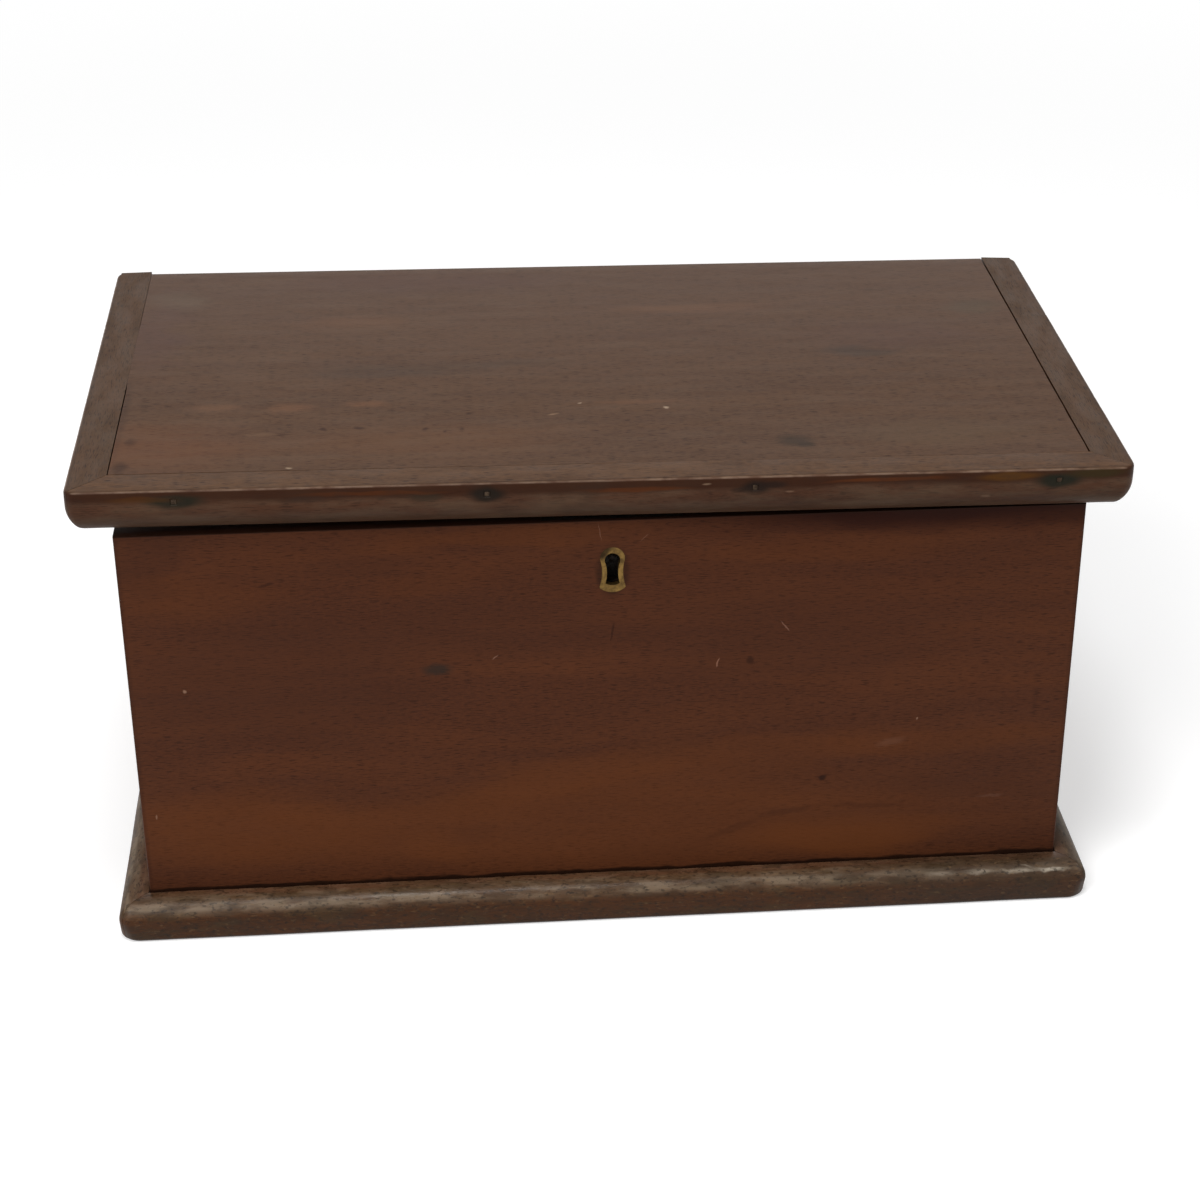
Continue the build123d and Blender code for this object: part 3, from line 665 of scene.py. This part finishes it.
def base_wood(name, turn, origin, marks, roughness, shine):
    """Mahogany moulding: paler on the round, partly rubbed and partly a painted highlight, with a
    painted highlight line along it, mottled with dark dirt on the face below, reddish on the
    ledge, and black in the joint with the boards."""
    material, tree = blank(name)
    place = board_place(tree, turn, origin)
    colour, pores = mahogany(tree, place, "3a200a", "4e2c12", 11, 0.7)
    uneven = wander(tree, place, 14, 6, (0, 2, 2))
    # On the round: a paler coat and a mottled one on it, partly rubbed wood and partly a painted
    # highlight, and a painted highlight line along its crest.
    on_round = rise(tree, uneven, "Z", base_top - 7.5 * mm, base_top - 3.0 * mm)
    on_ledge = rise(tree, uneven, "Y", 7.5 * mm, 10.5 * mm)
    in_joint = rise(tree, uneven, "Y", base_depth - 0.9 * mm, base_depth - 0.2 * mm)
    at_foot = rise(tree, uneven, "Z", 2.5 * mm, 0.5 * mm)
    rub_and_painted_highlight = mottle(tree, place, 22, 6, 0.4, 0.62, 4.0)
    rub_and_painted_highlight = node(tree, "Math", {0: rub_and_painted_highlight, 1: on_round}, operation="MULTIPLY")
    dirt = mottle(tree, place, 14, 5, 0.48, 0.6, 6.0)
    olive = mottle(tree, uneven, 24, 7, 0.5, 0.64, 5.0)
    specks = mottle(tree, place, 2.6, 1.6, 0.54, 0.64, 4.0)
    pale = mottle(tree, place, 4, 1.6, 0.58, 0.68, 4.0)
    crest = mark(tree, uneven, (0, 3.4), (whole_length, 2.4))
    crest = node(tree, "Math", {0: crest, 1: rub_and_painted_highlight}, operation="MULTIPLY")
    colour = coats(
        tree,
        colour,
        (on_round, 0.5, "5a4836"),
        (rub_and_painted_highlight, 0.4, "766452"),
        (on_ledge, 0.6, "5b3a28"),
        (olive, 0.35, "3b311e"),
        (crest, 0.22, "93826c"),
    )
    ragged = wander(tree, place, 4, 2, (4, 1.4, 0))
    colour = marked(tree, ragged, colour, marks, 0.2)
    colour = coats(
        tree,
        colour,
        (pale, 0.35, "6f5539"),
        (dirt, 0.4, "2a1b0d"),
        (specks, 0.6, "1b130c"),
        (at_foot, 0.4, "20150d"),
        (in_joint, 0.9, "120a07"),
    )
    varnish(tree, place, colour, pores, roughness, shine)
    return material


def worn_base(length, mitred, seeds):
    """A length of the base, mitred and knocked round at its front ends, rubbed and uneven. Of the
    mitred ends, true is the one that it starts from."""
    bm = moulding(base_section, base_rounds, length)
    for at_start in mitred:
        mitre(bm, at_start, length)
    slices(bm, length, base_slice, base_corner + base_flare)
    for at_start in mitred:
        end, inward = (0, 1) if at_start else (length, -1)
        round_end(bm, end, inward, base_corner, base_flare)
    rub(bm, base_depth, base_top, *base_wear, seeds[0])
    sway(bm, *base_sway, seeds[1])
    return bm


bm = worn_base(base_length, (True, False), (3.0, 1.0))
for share, y, z, reach, depth in base_dents:
    dent(bm, share * base_length, y * mm, z * mm, reach * mm, depth * mm)
lay(bm, (-base_side, base_front, 0), (1, 0, 0), (0, 1, 0))
place = (0, base_front, 0)
name = "rubbed_mahogany_base_front"
wood = base_wood(name, (0, 0, 0), place, base_marks_and_painted_glints, (0.24, 0.38), 0.16)
finished(bm, "base_moulding_front_worn", "carcass", wood, "moulding_wood", "base_moulding_front")

for side, sign in (("left", -1), ("right", 1)):
    at_front = side == "right"
    bm = worn_base(base_side_length, (at_front,), (5.0 + sign, 4.0 + sign))
    start = base_front if at_front else back_high.y
    lay(bm, (sign * base_side, start, 0), (0, sign, 0), (-sign, 0, 0))
    turn = (0, 0, sign * math.radians(90))
    place = (sign * base_side, 0, 0)
    marks = side_base_marks if at_front else ()
    name = f"rubbed_mahogany_base_{side}"
    wood = base_wood(name, turn, place, marks, (0.4, 0.55), 0.08)
    name = f"base_moulding_{side}"
    finished(bm, f"{name}_worn", "carcass", wood, "moulding_wood", name)

# Lock
# A bought box lock of dark iron: the cover plate screwed over its case, bent over the rim where
# the links drop in, and the sliding bolt, its spring and the key's drill pin behind the keyhole.
lock_iron = rusted_iron("dark_lock_iron", "2e2018", "2c2a28", 0.8)


def filed(name, body, material, slot, arris, least):
    """Makes a metal piece of its node's shape, with its longer arrises filed off."""
    bm = joined_copy(name)
    soften(bm, arris, least)
    finished(bm, f"{name}_filed", body, material, slot, name)


filed("lock_cover_plate", "carcass", lock_iron, "iron", 0.25 * mm, 1.5 * mm)
filed("lock_bolt", "lock_bolt", lock_iron, "iron", 0.2 * mm, 1.5 * mm)
dress(lock_iron, "lock_case", "lock_spring", "lock_screws")
# The drill pin's near black is partly dark iron and partly painted shade deep in the keyhole.
dress(rusted_iron("black_iron_and_painted_shade", "17110d", "1c1815", 0.2), "lock_drill_pin")

# Escutcheon
# A keyhole-shaped ring of cast brass, let into the board and filed flush. Fingers and keys keep
# the foot and the right side yellow, and old polish has blackened the edges.
escutcheon_low, escutcheon_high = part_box("escutcheon")
escutcheon_middle = (escutcheon_low.y + escutcheon_high.y) / 2
escutcheon_arris = 0.3 * mm
escutcheon_foot = 0.7 * mm
escutcheon_least_arris = 0.1 * mm
# Grime: its middle on the front, its reach and its turn.
escutcheon_grime = (((-1.6, 186.6), (6.0, 3.4), 50), ((-3.6, 176.0), (2.2, 7.0), 0))


def old_brass(name, bright, dull, grime=()):
    """Cast brass, tarnished brown in patches and rubbed yellow between them, with black grime at
    given places of the front."""
    material, tree = blank(name)
    place = node(tree, "TexCoord").outputs["Object"]
    film = mottle(tree, place, 4, 4, 0.34, 0.68, 4.0)
    specks = mottle(tree, place, 0.9, 0.9, 0.6, 0.7)
    colour = coats(tree, bright, (film, 0.8, dull), (specks, 0.4, "2a1d10"))
    front = board_place(tree, (math.radians(90), 0, 0), (0, front_low.y, 0))
    for middle, reach, turn in grime:
        dark = mark(tree, front, middle, reach, turn, 0.4)
        colour = coats(tree, colour, (dark, 0.85, "21170f"))
    rough = node(tree, "MapRange", {"Value": film, "To Min": 0.36, "To Max": 0.6})
    bump = {"Strength": 0.4, "Distance": 0.08 * mm, "Height": specks}
    bump = node(tree, "Bump", bump, invert=True)
    inputs = {"Base Color": colour, "Metallic": 0.95, "Roughness": rough, "Normal": bump}
    shader = node(tree, "BsdfPrincipled", inputs)
    node(tree, "OutputMaterial", {"Surface": shader})
    return material


def at_foot_corner(point):
    """Whether a point lies midway along one of the two arrises at the foot's corners."""
    low = point.z < escutcheon_low.z + 3 * mm
    return low and abs(point.y - escutcheon_middle) < 0.2 * mm


bm = joined_copy("escutcheon")
soften(bm, escutcheon_foot, escutcheon_least_arris, at_foot_corner)
soften(bm, escutcheon_arris, escutcheon_least_arris)
brass = old_brass("tarnished_brass_escutcheon", "7a6034", "463520", escutcheon_grime)
finished(bm, "escutcheon_filed", "carcass", brass, "brass", "escutcheon")

# Lid panel
# One wide mahogany board inside its frame of mouldings. Years of light and dust have greyed it,
# and it has shrunk across its width, so that it stands back from the frame behind and at the right.
panel_front_gap, front_gap_end, front_gap_taper = 0.35 * mm, -55 * mm, 90 * mm
left_gap_ahead, left_gap_ahead_end = 0.48 * mm, -148 * mm
left_gap_behind, left_gap_behind_end = 0.16 * mm, -75 * mm
right_gap, right_gap_change, right_gap_wave = 0.8 * mm, 0.32 * mm, 14 * mm
panel_back_arris = 0.9 * mm
panel_slice = 10 * mm
panel_edge = 0.1 * mm
top_faces = [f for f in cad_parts["lid_panel"].data.polygons if f.normal.z > 0.9]
lid_up = sum((f.normal * f.area for f in top_faces), Vector()).normalized()
lid_across = Vector((lid_up.z, 0, -lid_up.x)).normalized()
lid_turn = Matrix((lid_across, lid_up.cross(lid_across), lid_up)).transposed()


def lid_box(*names):
    """Lowest and highest corner of some of the lid's nodes, along the lid's own axes."""
    found = []
    for name in names:
        found += [lid_turn.inverted() @ v.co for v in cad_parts[name].data.vertices]
    low = Vector([min(p[i] for p in found) for i in range(3)])
    high = Vector([max(p[i] for p in found) for i in range(3)])
    return low, high


lid_low, lid_high = lid_box("lid_moulding_front", "lid_moulding_left", "lid_moulding_right")
panel_low, panel_high = lid_box("lid_panel")
lid_middle = (lid_low.x + lid_high.x) / 2
lid_origin = lid_turn @ Vector((lid_middle, lid_high.y, lid_high.z))
lid_thickness = lid_high.z - lid_low.z

# The panel's figure and marks: middle, right of the lid's middle and, below 0, in front of its
# back edge, then reach, turn, strength and colour.
top_figure = (
    ((-197, -215), (70, 36), 0, 0.4, "633e28"),
    ((-80, -214), (100, 28), 0, 0.3, "62422c"),
    ((-90, -134), (66, 12), 2, 0.4, "3a302a"),
    ((-40, -128), (40, 7), 0, 0.3, "3a302a"),
    ((-203, -80), (18, 75), 0, 0.4, "4a3431"),
    ((-78, -22), (95, 20), 0, 0.4, "4b3430"),
    ((-196, -40), (24, 20), 0, 0.4, "5d5244"),
    ((54, -63), (60, 10), 0, 0.4, "6b4b36"),
    ((-110, -75), (40, 12), 0, 0.35, "6b4b36"),
    ((150, -100), (60, 26), 0, 0.35, "4b3632"),
    ((193, -68), (20, 16), 0, 0.5, "474034"),
    ((129, -122), (18, 12), 0, 0.6, "382f2a"),
    ((40, -100), (70, 8), 0, 0.3, "483228"),
    ((150, -215), (60, 24), 0, 0.3, "5c4a38"),
)
top_marks = (
    ((-171, -173), (17, 6), 0, 0.3, "7a5840"),
    ((-138, -175), (16, 7), 0, 0.3, "7a543c"),
    ((-104, -172), (14, 5), 0, 0.3, "7a543c"),
    ((20, -176), (30, 3.5), 0, 0.2, "7a543c"),
    ((-122.5, -198.5), (2.6, 2.6), 0, 0.7, "281510"),
    ((-107, -198.3), (4.0, 2.4), 0, 0.7, "281510"),
    ((-77, -201), (2.6, 2.6), 0, 0.65, "281510"),
    ((-68.8, -204), (1.8, 2.0), 0, 0.6, "281510"),
    ((-61.7, -202), (2.0, 2.4), 0, 0.6, "281510"),
    ((-140, -204), (3.0, 3.0), 0, 0.4, "281510"),
    ((-7.2, -176.3), (1.3, 1.4), 0, 0.7, "a8927c"),
    ((31.4, -182.9), (2.0, 1.4), 0, 0.7, "a8927c"),
    ((-20.1, -187.8), (3.4, 1.6), 30, 0.5, "93755c"),
    ((84.5, -221.8), (12, 9), 0, 0.6, "2c2620"),
    ((88.9, -227), (5.5, 5.0), 0, 0.6, "26211c"),
    ((-208, -234), (5, 9), 0, 0.6, "2c1d17"),
    ((-212, -180), (4, 60), 0, 0.35, "2c1d17"),
    ((-206, -208), (4, 6), 0, 0.5, "2c1d17"),
    ((166.7, -242.2), (4.4, 3.0), 0, 0.5, "33261c"),
    ((124, -243), (3.0, 2.0), 0, 0.45, "33261c"),
    ((133, -236), (2.0, 2.0), 0, 0.45, "33261c"),
    ((147.5, -43.5), (6, 3), 0, 0.4, "33261c"),
    ((-136, -238), (2.0, 1.5), 0, 0.5, "b09a80"),
    ((-150, -203), (10, 3.0), 0, 0.15, "8d6f56"),
)


def lid_top_wood():
    """Greyed mahogany: a dull film of dust and wax over the wood, thinnest at the front left."""
    material, tree = blank("greyed_mahogany_panel")
    place = board_place(tree, lid_turn.to_euler(), lid_origin)
    colour, pores = mahogany(tree, place, "4d382b", "58402f", 13, 0.5, 1.5)
    figured = wander(tree, place, 60, 14, (40, 16, 0))
    colour = marked(tree, figured, colour, top_figure, 0.2)
    ragged = wander(tree, place, 6, 4, (5, 4, 0))
    colour = marked(tree, ragged, colour, top_marks, 0.2)
    under = rise(tree, place, "Z", 0.8 * mm - lid_thickness, 0.4 * mm - lid_thickness, False)
    bare, _ = mahogany(tree, place, "5f4230", "8a6246", 34)
    faded = rise(tree, place, "Y", -170 * mm, -20 * mm, False)
    dust = mottle(tree, place, 60, 8, 0.45, 0.65, 6.0)
    soot = mottle(tree, place, 11, 5, 0.54, 0.68, 6.0)
    colour = coats(
        tree,
        colour,
        (faded, 0.3, "64544c"),
        (dust, 0.12, "6b5747"),
        (soot, 0.2, "33261f"),
        (under, 1.0, bare),
    )
    varnish(tree, place, colour, pores, (0.55, 0.6), 0.08)
    return material


def panel_gap(x, y):
    """How far the panel stands back from its frame, to the left, right and front."""
    left = 0.0
    if y < left_gap_ahead_end:
        left = left_gap_ahead
    elif y > left_gap_behind_end:
        left = left_gap_behind
    right = right_gap + right_gap_change * noise.noise((y / right_gap_wave, 2.0, 0))
    front = panel_front_gap * max(0.0, min(1.0, (front_gap_end - x) / front_gap_taper))
    return left, right, front


def at_back_top(point):
    """Whether a point lies on the panel's upper arris at the back."""
    return point.y > panel_high.y - 3 * mm and point.z > lid_high.z - mm


bm = joined_copy("lid_panel")
bm.transform(lid_turn.inverted().to_4x4())
for i in range(int((panel_high.x - panel_low.x) / panel_slice)):
    cut(bm, (panel_low.x + (i + 1) * panel_slice, 0, 0), (1, 0, 0))
for i in range(int((panel_high.y - panel_low.y) / panel_slice)):
    cut(bm, (0, panel_high.y - (i + 1) * panel_slice, 0), (0, 1, 0))
for vert in bm.verts:
    left, right, front = panel_gap(vert.co.x - lid_middle, vert.co.y - lid_high.y)
    if vert.co.x < panel_low.x + panel_edge:
        vert.co.x += left
    if vert.co.x > panel_high.x - panel_edge:
        vert.co.x -= right
    if vert.co.y < panel_low.y + panel_edge:
        vert.co.y += front
soften(bm, panel_back_arris, where=at_back_top)
bm.transform(lid_turn.to_4x4())
finished(bm, "lid_panel_shrunk", "lid", lid_top_wood(), "lid_wood", "lid_panel")

# Lid mouldings
# Mahogany strips glued and nailed round the panel, with a narrow arris on top and a wide quarter
# round beneath. The pale arris is partly rubbed wood and partly a painted highlight, and rust has
# stained the wood round the nails.
strip_width = 17 * mm
strip_round = 14 * mm
strip_arris = 1.5 * mm
strip_corners = (5.0 * mm, 6.5 * mm)
strip_length = lid_high.x - lid_low.x
strip_side_length = lid_high.y - lid_low.y
strip_slice = 2.0 * mm
strip_wear = (2.0 * mm, 0.3 * mm)
strip_sway = (50 * mm, 0.15 * mm)
nail_height = 16.5 * mm
pit_half = 1.9 * mm
front_nails = (-184 * mm, -52 * mm, 63 * mm, 196 * mm)
side_nail_shares = (0.15, 0.5, 0.82)
strip_section = ((0, 0), (0, lid_thickness), (strip_width, lid_thickness), (strip_width, 0))
strip_rounds = ((strip_round, 18), (strip_arris, 8), (0, 0), (0, 0))


def nail_pit(bm, x):
    """Sinks a small pit in the strip's outer face where a nail was punched in."""
    for place in (x - pit_half, x + pit_half):
        cut(bm, (place, 0, 0), (1, 0, 0))
    middle = Vector((x, 0, nail_height))
    face = min(bm.faces, key=lambda f: (f.calc_center_median() - middle).length)
    for step, sink in ((0.5 * mm, 0.1 * mm), (0.4 * mm, 0.35 * mm)):
        bmesh.ops.inset_individual(bm, faces=[face], thickness=step, depth=-sink)


# Stains on the outer face: along the strip and below its top, reach, turn, strength and colour.
nail_drop = -5.5
front_stains = (
    ((-184, nail_drop), (17, 4.2), 0, 0.9, "1a1b12"),
    ((-197, -4.5), (20, 2.2), 0, 0.4, "52300f"),
    ((-52, nail_drop), (11, 4.4), 0, 0.9, "17120c"),
    ((-78, -5.8), (10, 3.6), 0, 0.6, "2a251c"),
    ((-128, -5.5), (12, 2.4), 0, 0.5, "2f2019"),
    ((63, nail_drop), (9, 4.6), 0, 0.85, "170e0a"),
    ((71, -4.0), (8, 1.8), 0, 0.8, "1f120c"),
    ((56, -6.5), (5, 2.0), 0, 0.6, "1f120c"),
    ((196, nail_drop), (14, 4.2), 0, 0.9, "171a12"),
    ((174, -3.0), (18, 2.4), 0, 0.55, "5c3a10"),
    ((212, -2.6), (18, 3.4), 0, 0.65, "2f2812"),
    ((42, -2.6), (2.6, 0.7), 0, 0.5, "8a705a"),
    ((78, -7.0), (2.5, 0.7), 0, 0.35, "8a6d58"),
    ((164, -12.7), (3, 0.9), 0, 0.3, "8a6d58"),
    ((12, -4.5), (30, 1.6), 0, 0.5, "5a2e12"),
    ((-100, -3.5), (40, 1.4), 0, 0.5, "52290f"),
    ((120, -3.4), (34, 1.6), 0, 0.6, "5a2e12"),
)
side_stains = tuple(
    ((1000 * strip_side_length * (0.5 - share), nail_drop), (7, 3.6), 0, 0.8, "1f1c15")
    for share in side_nail_shares
)


def strip_wood(name, turn, origin, stains, top_tones):
    """Mahogany strip: greyed on top, a dark red-brown band under the pale arris, which is partly
    rubbed wood and partly a painted highlight, and a smoky purplish brown below it."""
    material, tree = blank(name)
    place = board_place(tree, turn, origin)
    colour, pores = mahogany(tree, place, "432a1d", "523525", 12, 0.6)
    top_colour, _ = mahogany(tree, place, *top_tones, 9, 0.6, 1.5)
    uneven = wander(tree, place, 24, 8, (0, 0, 4))
    on_top = rise(tree, place, "Z", -0.5 * mm, -0.1 * mm, False)
    band = rise(tree, uneven, "Z", -7.5 * mm, -4.0 * mm)
    low = rise(tree, uneven, "Z", -12.0 * mm, -17.0 * mm)
    section = node(tree, "VectorMath", {0: place, 1: (0, 1, 1)}, operation="MULTIPLY")
    away = node(tree, "VectorMath", {0: section}, operation="LENGTH")
    # The pale arris line and its patchy rub: partly rubbed wood, partly a painted highlight.
    limits = {"Value": away, "From Min": 1.2 * mm, "From Max": 0.5 * mm}
    line = node(tree, "MapRange", limits, interpolation_type="SMOOTHSTEP")
    patchy = mottle(tree, place, 14, 6, 0.4, 0.62, 5.0)
    rubbed = node(tree, "Math", {0: line, 1: patchy}, operation="MULTIPLY")
    limits = {"Value": away, "From Min": 2.8 * mm, "From Max": 1.6 * mm}
    behind = node(tree, "MapRange", limits, interpolation_type="SMOOTHSTEP")
    behind = node(tree, "Math", {0: behind, 1: on_top}, operation="MULTIPLY")
    smoke = mottle(tree, place, 24, 9, 0.5, 0.7, 4.0)
    dust = mottle(tree, place, 34, 7, 0.34, 0.72, 5.0)
    colour = coats(
        tree,
        colour,
        (low, 0.25, "4c3a2a"),
        (dust, 0.3, "6b5b49"),
        (band, 0.85, "2f1608"),
    )
    upright = {"Vector": uneven, "Rotation": (math.radians(90), 0, 0)}
    outer_face = node(tree, "Mapping", upright, vector_type="TEXTURE")
    colour = marked(tree, outer_face, colour, stains, 0.35)
    colour = coats(
        tree,
        colour,
        (on_top, 1.0, top_colour),
        (smoke, 0.3, "2c2019"),
        (behind, 0.3, "2c2019"),
        (line, 0.6, "735848"),
        (rubbed, 0.45, "9a8470"),
    )
    varnish(tree, place, colour, pores, (0.38, 0.52), 0.08)
    return material


def worn_strip(length, nail_places, mitred, corners, seeds):
    """A strip with a pit for each nail, mitred at the given ends, rounded at both, and rubbed."""
    bm = moulding(strip_section, strip_rounds, length)
    for height in (nail_height - pit_half, nail_height + pit_half):
        cut(bm, (0, 0, height), (0, 0, 1))
    for place in nail_places:
        nail_pit(bm, place)
    for at_start in mitred:
        mitre(bm, at_start, length)
    slices(bm, length, strip_slice, corners[1])
    round_end(bm, 0, 1, corners[0])
    round_end(bm, length, -1, corners[1])
    rub(bm, 0, lid_thickness, *strip_wear, seeds[0])
    sway(bm, *strip_sway, seeds[1])
    return bm


places = [strip_length / 2 + x for x in front_nails]
bm = worn_strip(strip_length, places, (True, False), strip_corners, (11.0, 2.0))
lay(bm, lid_low, (1, 0, 0), (0, 1, 0), lid_turn.to_4x4())
origin = lid_turn @ Vector((lid_middle, lid_low.y, lid_high.z))
tones = ("4f392a", "5f442f")
turn = lid_turn.to_euler()
wood = strip_wood("rubbed_mahogany_lid_front", turn, origin, front_stains, tones)
finished(bm, "lid_moulding_front_worn", "lid", wood, "lid_wood", "lid_moulding_front")

for side, sign, corner in (("left", -1, strip_corners[0]), ("right", 1, strip_corners[1])):
    at_front = side == "right"
    places = [strip_side_length * (1 - s if at_front else s) for s in side_nail_shares]
    seeds = (14.0 + sign, 6.0 + sign)
    bm = worn_strip(strip_side_length, places, (at_front,), (corner, corner), seeds)
    start = lid_low.y if at_front else lid_high.y
    outer = lid_high.x if at_front else lid_low.x
    lay(bm, (outer, start, lid_low.z), (0, sign, 0), (-sign, 0, 0), lid_turn.to_4x4())
    turn = (lid_turn @ Matrix.Rotation(sign * math.radians(90), 3, "Z")).to_euler()
    origin = lid_turn @ Vector((outer, (lid_low.y + lid_high.y) / 2, lid_high.z))
    tones = ("44301f", "513826")
    wood = strip_wood(f"rubbed_mahogany_lid_{side}", turn, origin, side_stains, tones)
    name = f"lid_moulding_{side}"
    finished(bm, f"{name}_worn", "lid", wood, "lid_wood", name)

# Lid nails
# Square cut iron nails, punched a little below the strips' faces and left to rust. The heads are
# uneven, and the rubbed ones catch the light.
head_half = 1.1 * mm
head_depth = 0.9 * mm
head_sink = 0.35 * mm
head_uneven = 0.3 * mm
head_arris = 0.3 * mm
head_seed = 7


def nail_heads(places):
    """Uneven square heads, one at each place, facing out along a direction. They come out the
    same each run, because the noise has a seed set."""
    noise.seed_set(head_seed)
    heads = bmesh.new()
    for number, (place, outward) in enumerate(places):
        made = bmesh.ops.create_cube(heads, size=2 * head_half)["verts"]
        bmesh.ops.scale(heads, vec=(1, head_depth / (2 * head_half), 1), verts=made)
        for vert in made:
            shift = noise.noise_vector(vert.co / head_half + Vector((number, 0, 0)))
            vert.co += shift * head_uneven
        facing = Vector((0, -1, 0)).rotation_difference(outward).to_matrix()
        bmesh.ops.rotate(heads, verts=made, cent=(0, 0, 0), matrix=facing)
        middle = place - outward * (head_sink + head_depth / 2)
        bmesh.ops.translate(heads, verts=made, vec=middle)
    rounded(heads, heads.edges[:], head_arris, 2)
    heads.transform(lid_turn.to_4x4())
    return heads


level = lid_low.z + nail_height
places = [(Vector((lid_middle + x, lid_low.y, level)), Vector((0, -1, 0))) for x in front_nails]
finished(nail_heads(places), "lid_front_nail_heads", "lid", nail_iron, "iron", "lid_front_nails")
places = []
for outer, outward in ((lid_low.x, Vector((-1, 0, 0))), (lid_high.x, Vector((1, 0, 0)))):
    for share in side_nail_shares:
        place = Vector((outer, lid_high.y - share * strip_side_length, level))
        places.append((place, outward))
finished(nail_heads(places), "lid_side_nail_heads", "lid", nail_iron, "iron", "lid_side_nails")

# Hinges
# A pair of small cast brass butt hinges behind the lid, with brass pins and countersunk brass
# screws. The right one is let in flush and the left one lies on the wood, which cants the lid.
hinge_brass = old_brass("tarnished_brass_hinge", "735b32", "45361f")
for side in ("left", "right"):
    for leaf, body in (("lower", "carcass"), ("upper", "lid")):
        name = f"hinge_{leaf}_leaf_{side}"
        filed(name, body, hinge_brass, "brass", 0.2 * mm, 2.0 * mm)
dress(hinge_brass, "hinge_pin_left", "hinge_pin_right")
screw_brass = old_brass("dirty_brass_screws", "5f4a29", "33261a")
dress(screw_brass, "hinge_screws_lower", "hinge_screws_upper")

# Link plate
# The lock's other half: an iron plate let into the lid's underside, with two links that drop
# through the rim for the bolt to pass.
filed("link_plate", "lid", lock_iron, "iron", 0.2 * mm, 1.5 * mm)
dress(lock_iron, "link_plate_screws")

# Studio
# A plain pale floor and soft light from a wide dome, with a lamp in front, one at the right and a
# small one overhead that shines in the rounds. What the camera sees of floor and dome is white.
floor_size = 12.0
floor_lit_reach = 0.6
floor_white_reach = 1.6
floor_glow = 0.35
dome_glow = 0.45


def seen_directly(tree):
    """1 for rays that show the surroundings themselves, from the camera or in metal and gloss."""
    path = node(tree, "LightPath")
    seen = {0: path.outputs["Is Camera Ray"], 1: path.outputs["Is Glossy Ray"]}
    seen = node(tree, "Math", seen, operation="MAXIMUM")
    either = {0: seen, 1: path.outputs["Is Transmission Ray"]}
    return node(tree, "Math", either, operation="MAXIMUM")


def floor_paint():
    """A plain pale floor that reads white, keeps the shadow, and throws little light back. Away
    from the box, where the lamps don't reach, it is plain white like the dome."""
    material, tree = blank("studio_floor")
    lit = node(tree, "BsdfDiffuse", {"Color": linear("e7e7e7")})
    glow = node(tree, "Emission", {"Color": linear("ffffff"), "Strength": floor_glow})
    near = node(tree, "AddShader", {0: lit, 1: glow})
    white = node(tree, "Emission", {"Color": linear("ffffff"), "Strength": 1.0})
    seen = node(tree, "TexCoord").outputs["Object"]
    away = node(tree, "VectorMath", {0: seen}, operation="LENGTH")
    limits = {"Value": away, "From Min": floor_lit_reach, "From Max": floor_white_reach}
    away = node(tree, "MapRange", limits, interpolation_type="SMOOTHSTEP")
    shown = node(tree, "MixShader", {0: away, 1: near, 2: white})
    bounce = node(tree, "BsdfDiffuse", {"Color": linear("a0a0a0")})
    both = node(tree, "MixShader", {0: seen_directly(tree), 1: bounce, 2: shown})
    node(tree, "OutputMaterial", {"Surface": both})
    return material


bm = bmesh.new()
bmesh.ops.create_grid(bm, x_segments=1, y_segments=1, size=floor_size / 2)
mesh = bpy.data.meshes.new("floor")
bm.to_mesh(mesh)
bm.free()
mesh.materials.append(floor_paint())
floor = bpy.data.objects.new("floor", mesh)
bpy.context.scene.collection.objects.link(floor)

world = bpy.data.worlds.new("studio")
bpy.context.scene.world = world
world.use_nodes = True
sky = world.node_tree
sky.nodes.clear()
dome = node(sky, "Background", {"Color": linear("ffffff"), "Strength": dome_glow})
white = node(sky, "Background", {"Color": linear("ffffff"), "Strength": 1.0})
shown = node(sky, "MixShader", {0: seen_directly(sky), 1: dome, 2: white})
node(sky, "OutputWorld", {"Surface": shown})

# Each lamp's name, place, size in metres and power in watts. All face the box.
for name, place, size, power in (
    ("front_lamp", (-1.2, -1.7, 1.9), 1.4, 41.0),
    ("right_lamp", (1.9, -0.9, 1.5), 1.4, 12.0),
    ("top_lamp", (-0.2, -0.55, 2.3), 0.5, 12.0),
):
    lamp = bpy.data.lights.new(name, "AREA")
    lamp.size = size
    lamp.energy = power
    lamp_object = bpy.data.objects.new(name, lamp)
    lamp_object.location = place
    lamp_object.rotation_euler = (-Vector(place)).to_track_quat("-Z", "Y").to_euler()
    bpy.context.scene.collection.objects.link(lamp_object)

# Camera
# It looks down at the box from the front and a little from the left, as the photograph does. Its
# place, turn and lens were fitted to the lid's corners, the carcass's edges and the base.
photo_width = 1200
focal_pixels = 2592.74
centre_pixel = (650.0, 630.0)
camera_place = (-71.69 * mm, -1130.81 * mm, 705.61 * mm)
azimuth, elevation, roll = 0.0899, 0.5046, -0.0053
sensor_width = 36.0
lens = bpy.data.cameras.new("camera")
lens.sensor_width = sensor_width
lens.lens = focal_pixels / photo_width * sensor_width
lens.shift_x = (photo_width / 2 - centre_pixel[0]) / photo_width
lens.shift_y = (centre_pixel[1] - photo_width / 2) / photo_width
camera = bpy.data.objects.new("camera", lens)
camera.location = camera_place
aim = Matrix.Rotation(-azimuth, 3, "Z") @ Matrix.Rotation(math.pi / 2 - elevation, 3, "X")
camera.rotation_euler = (aim @ Matrix.Rotation(-roll, 3, "Z")).to_euler()
bpy.context.scene.collection.objects.link(camera)
bpy.context.scene.camera = camera
bpy.context.scene.view_settings.view_transform = "Standard"
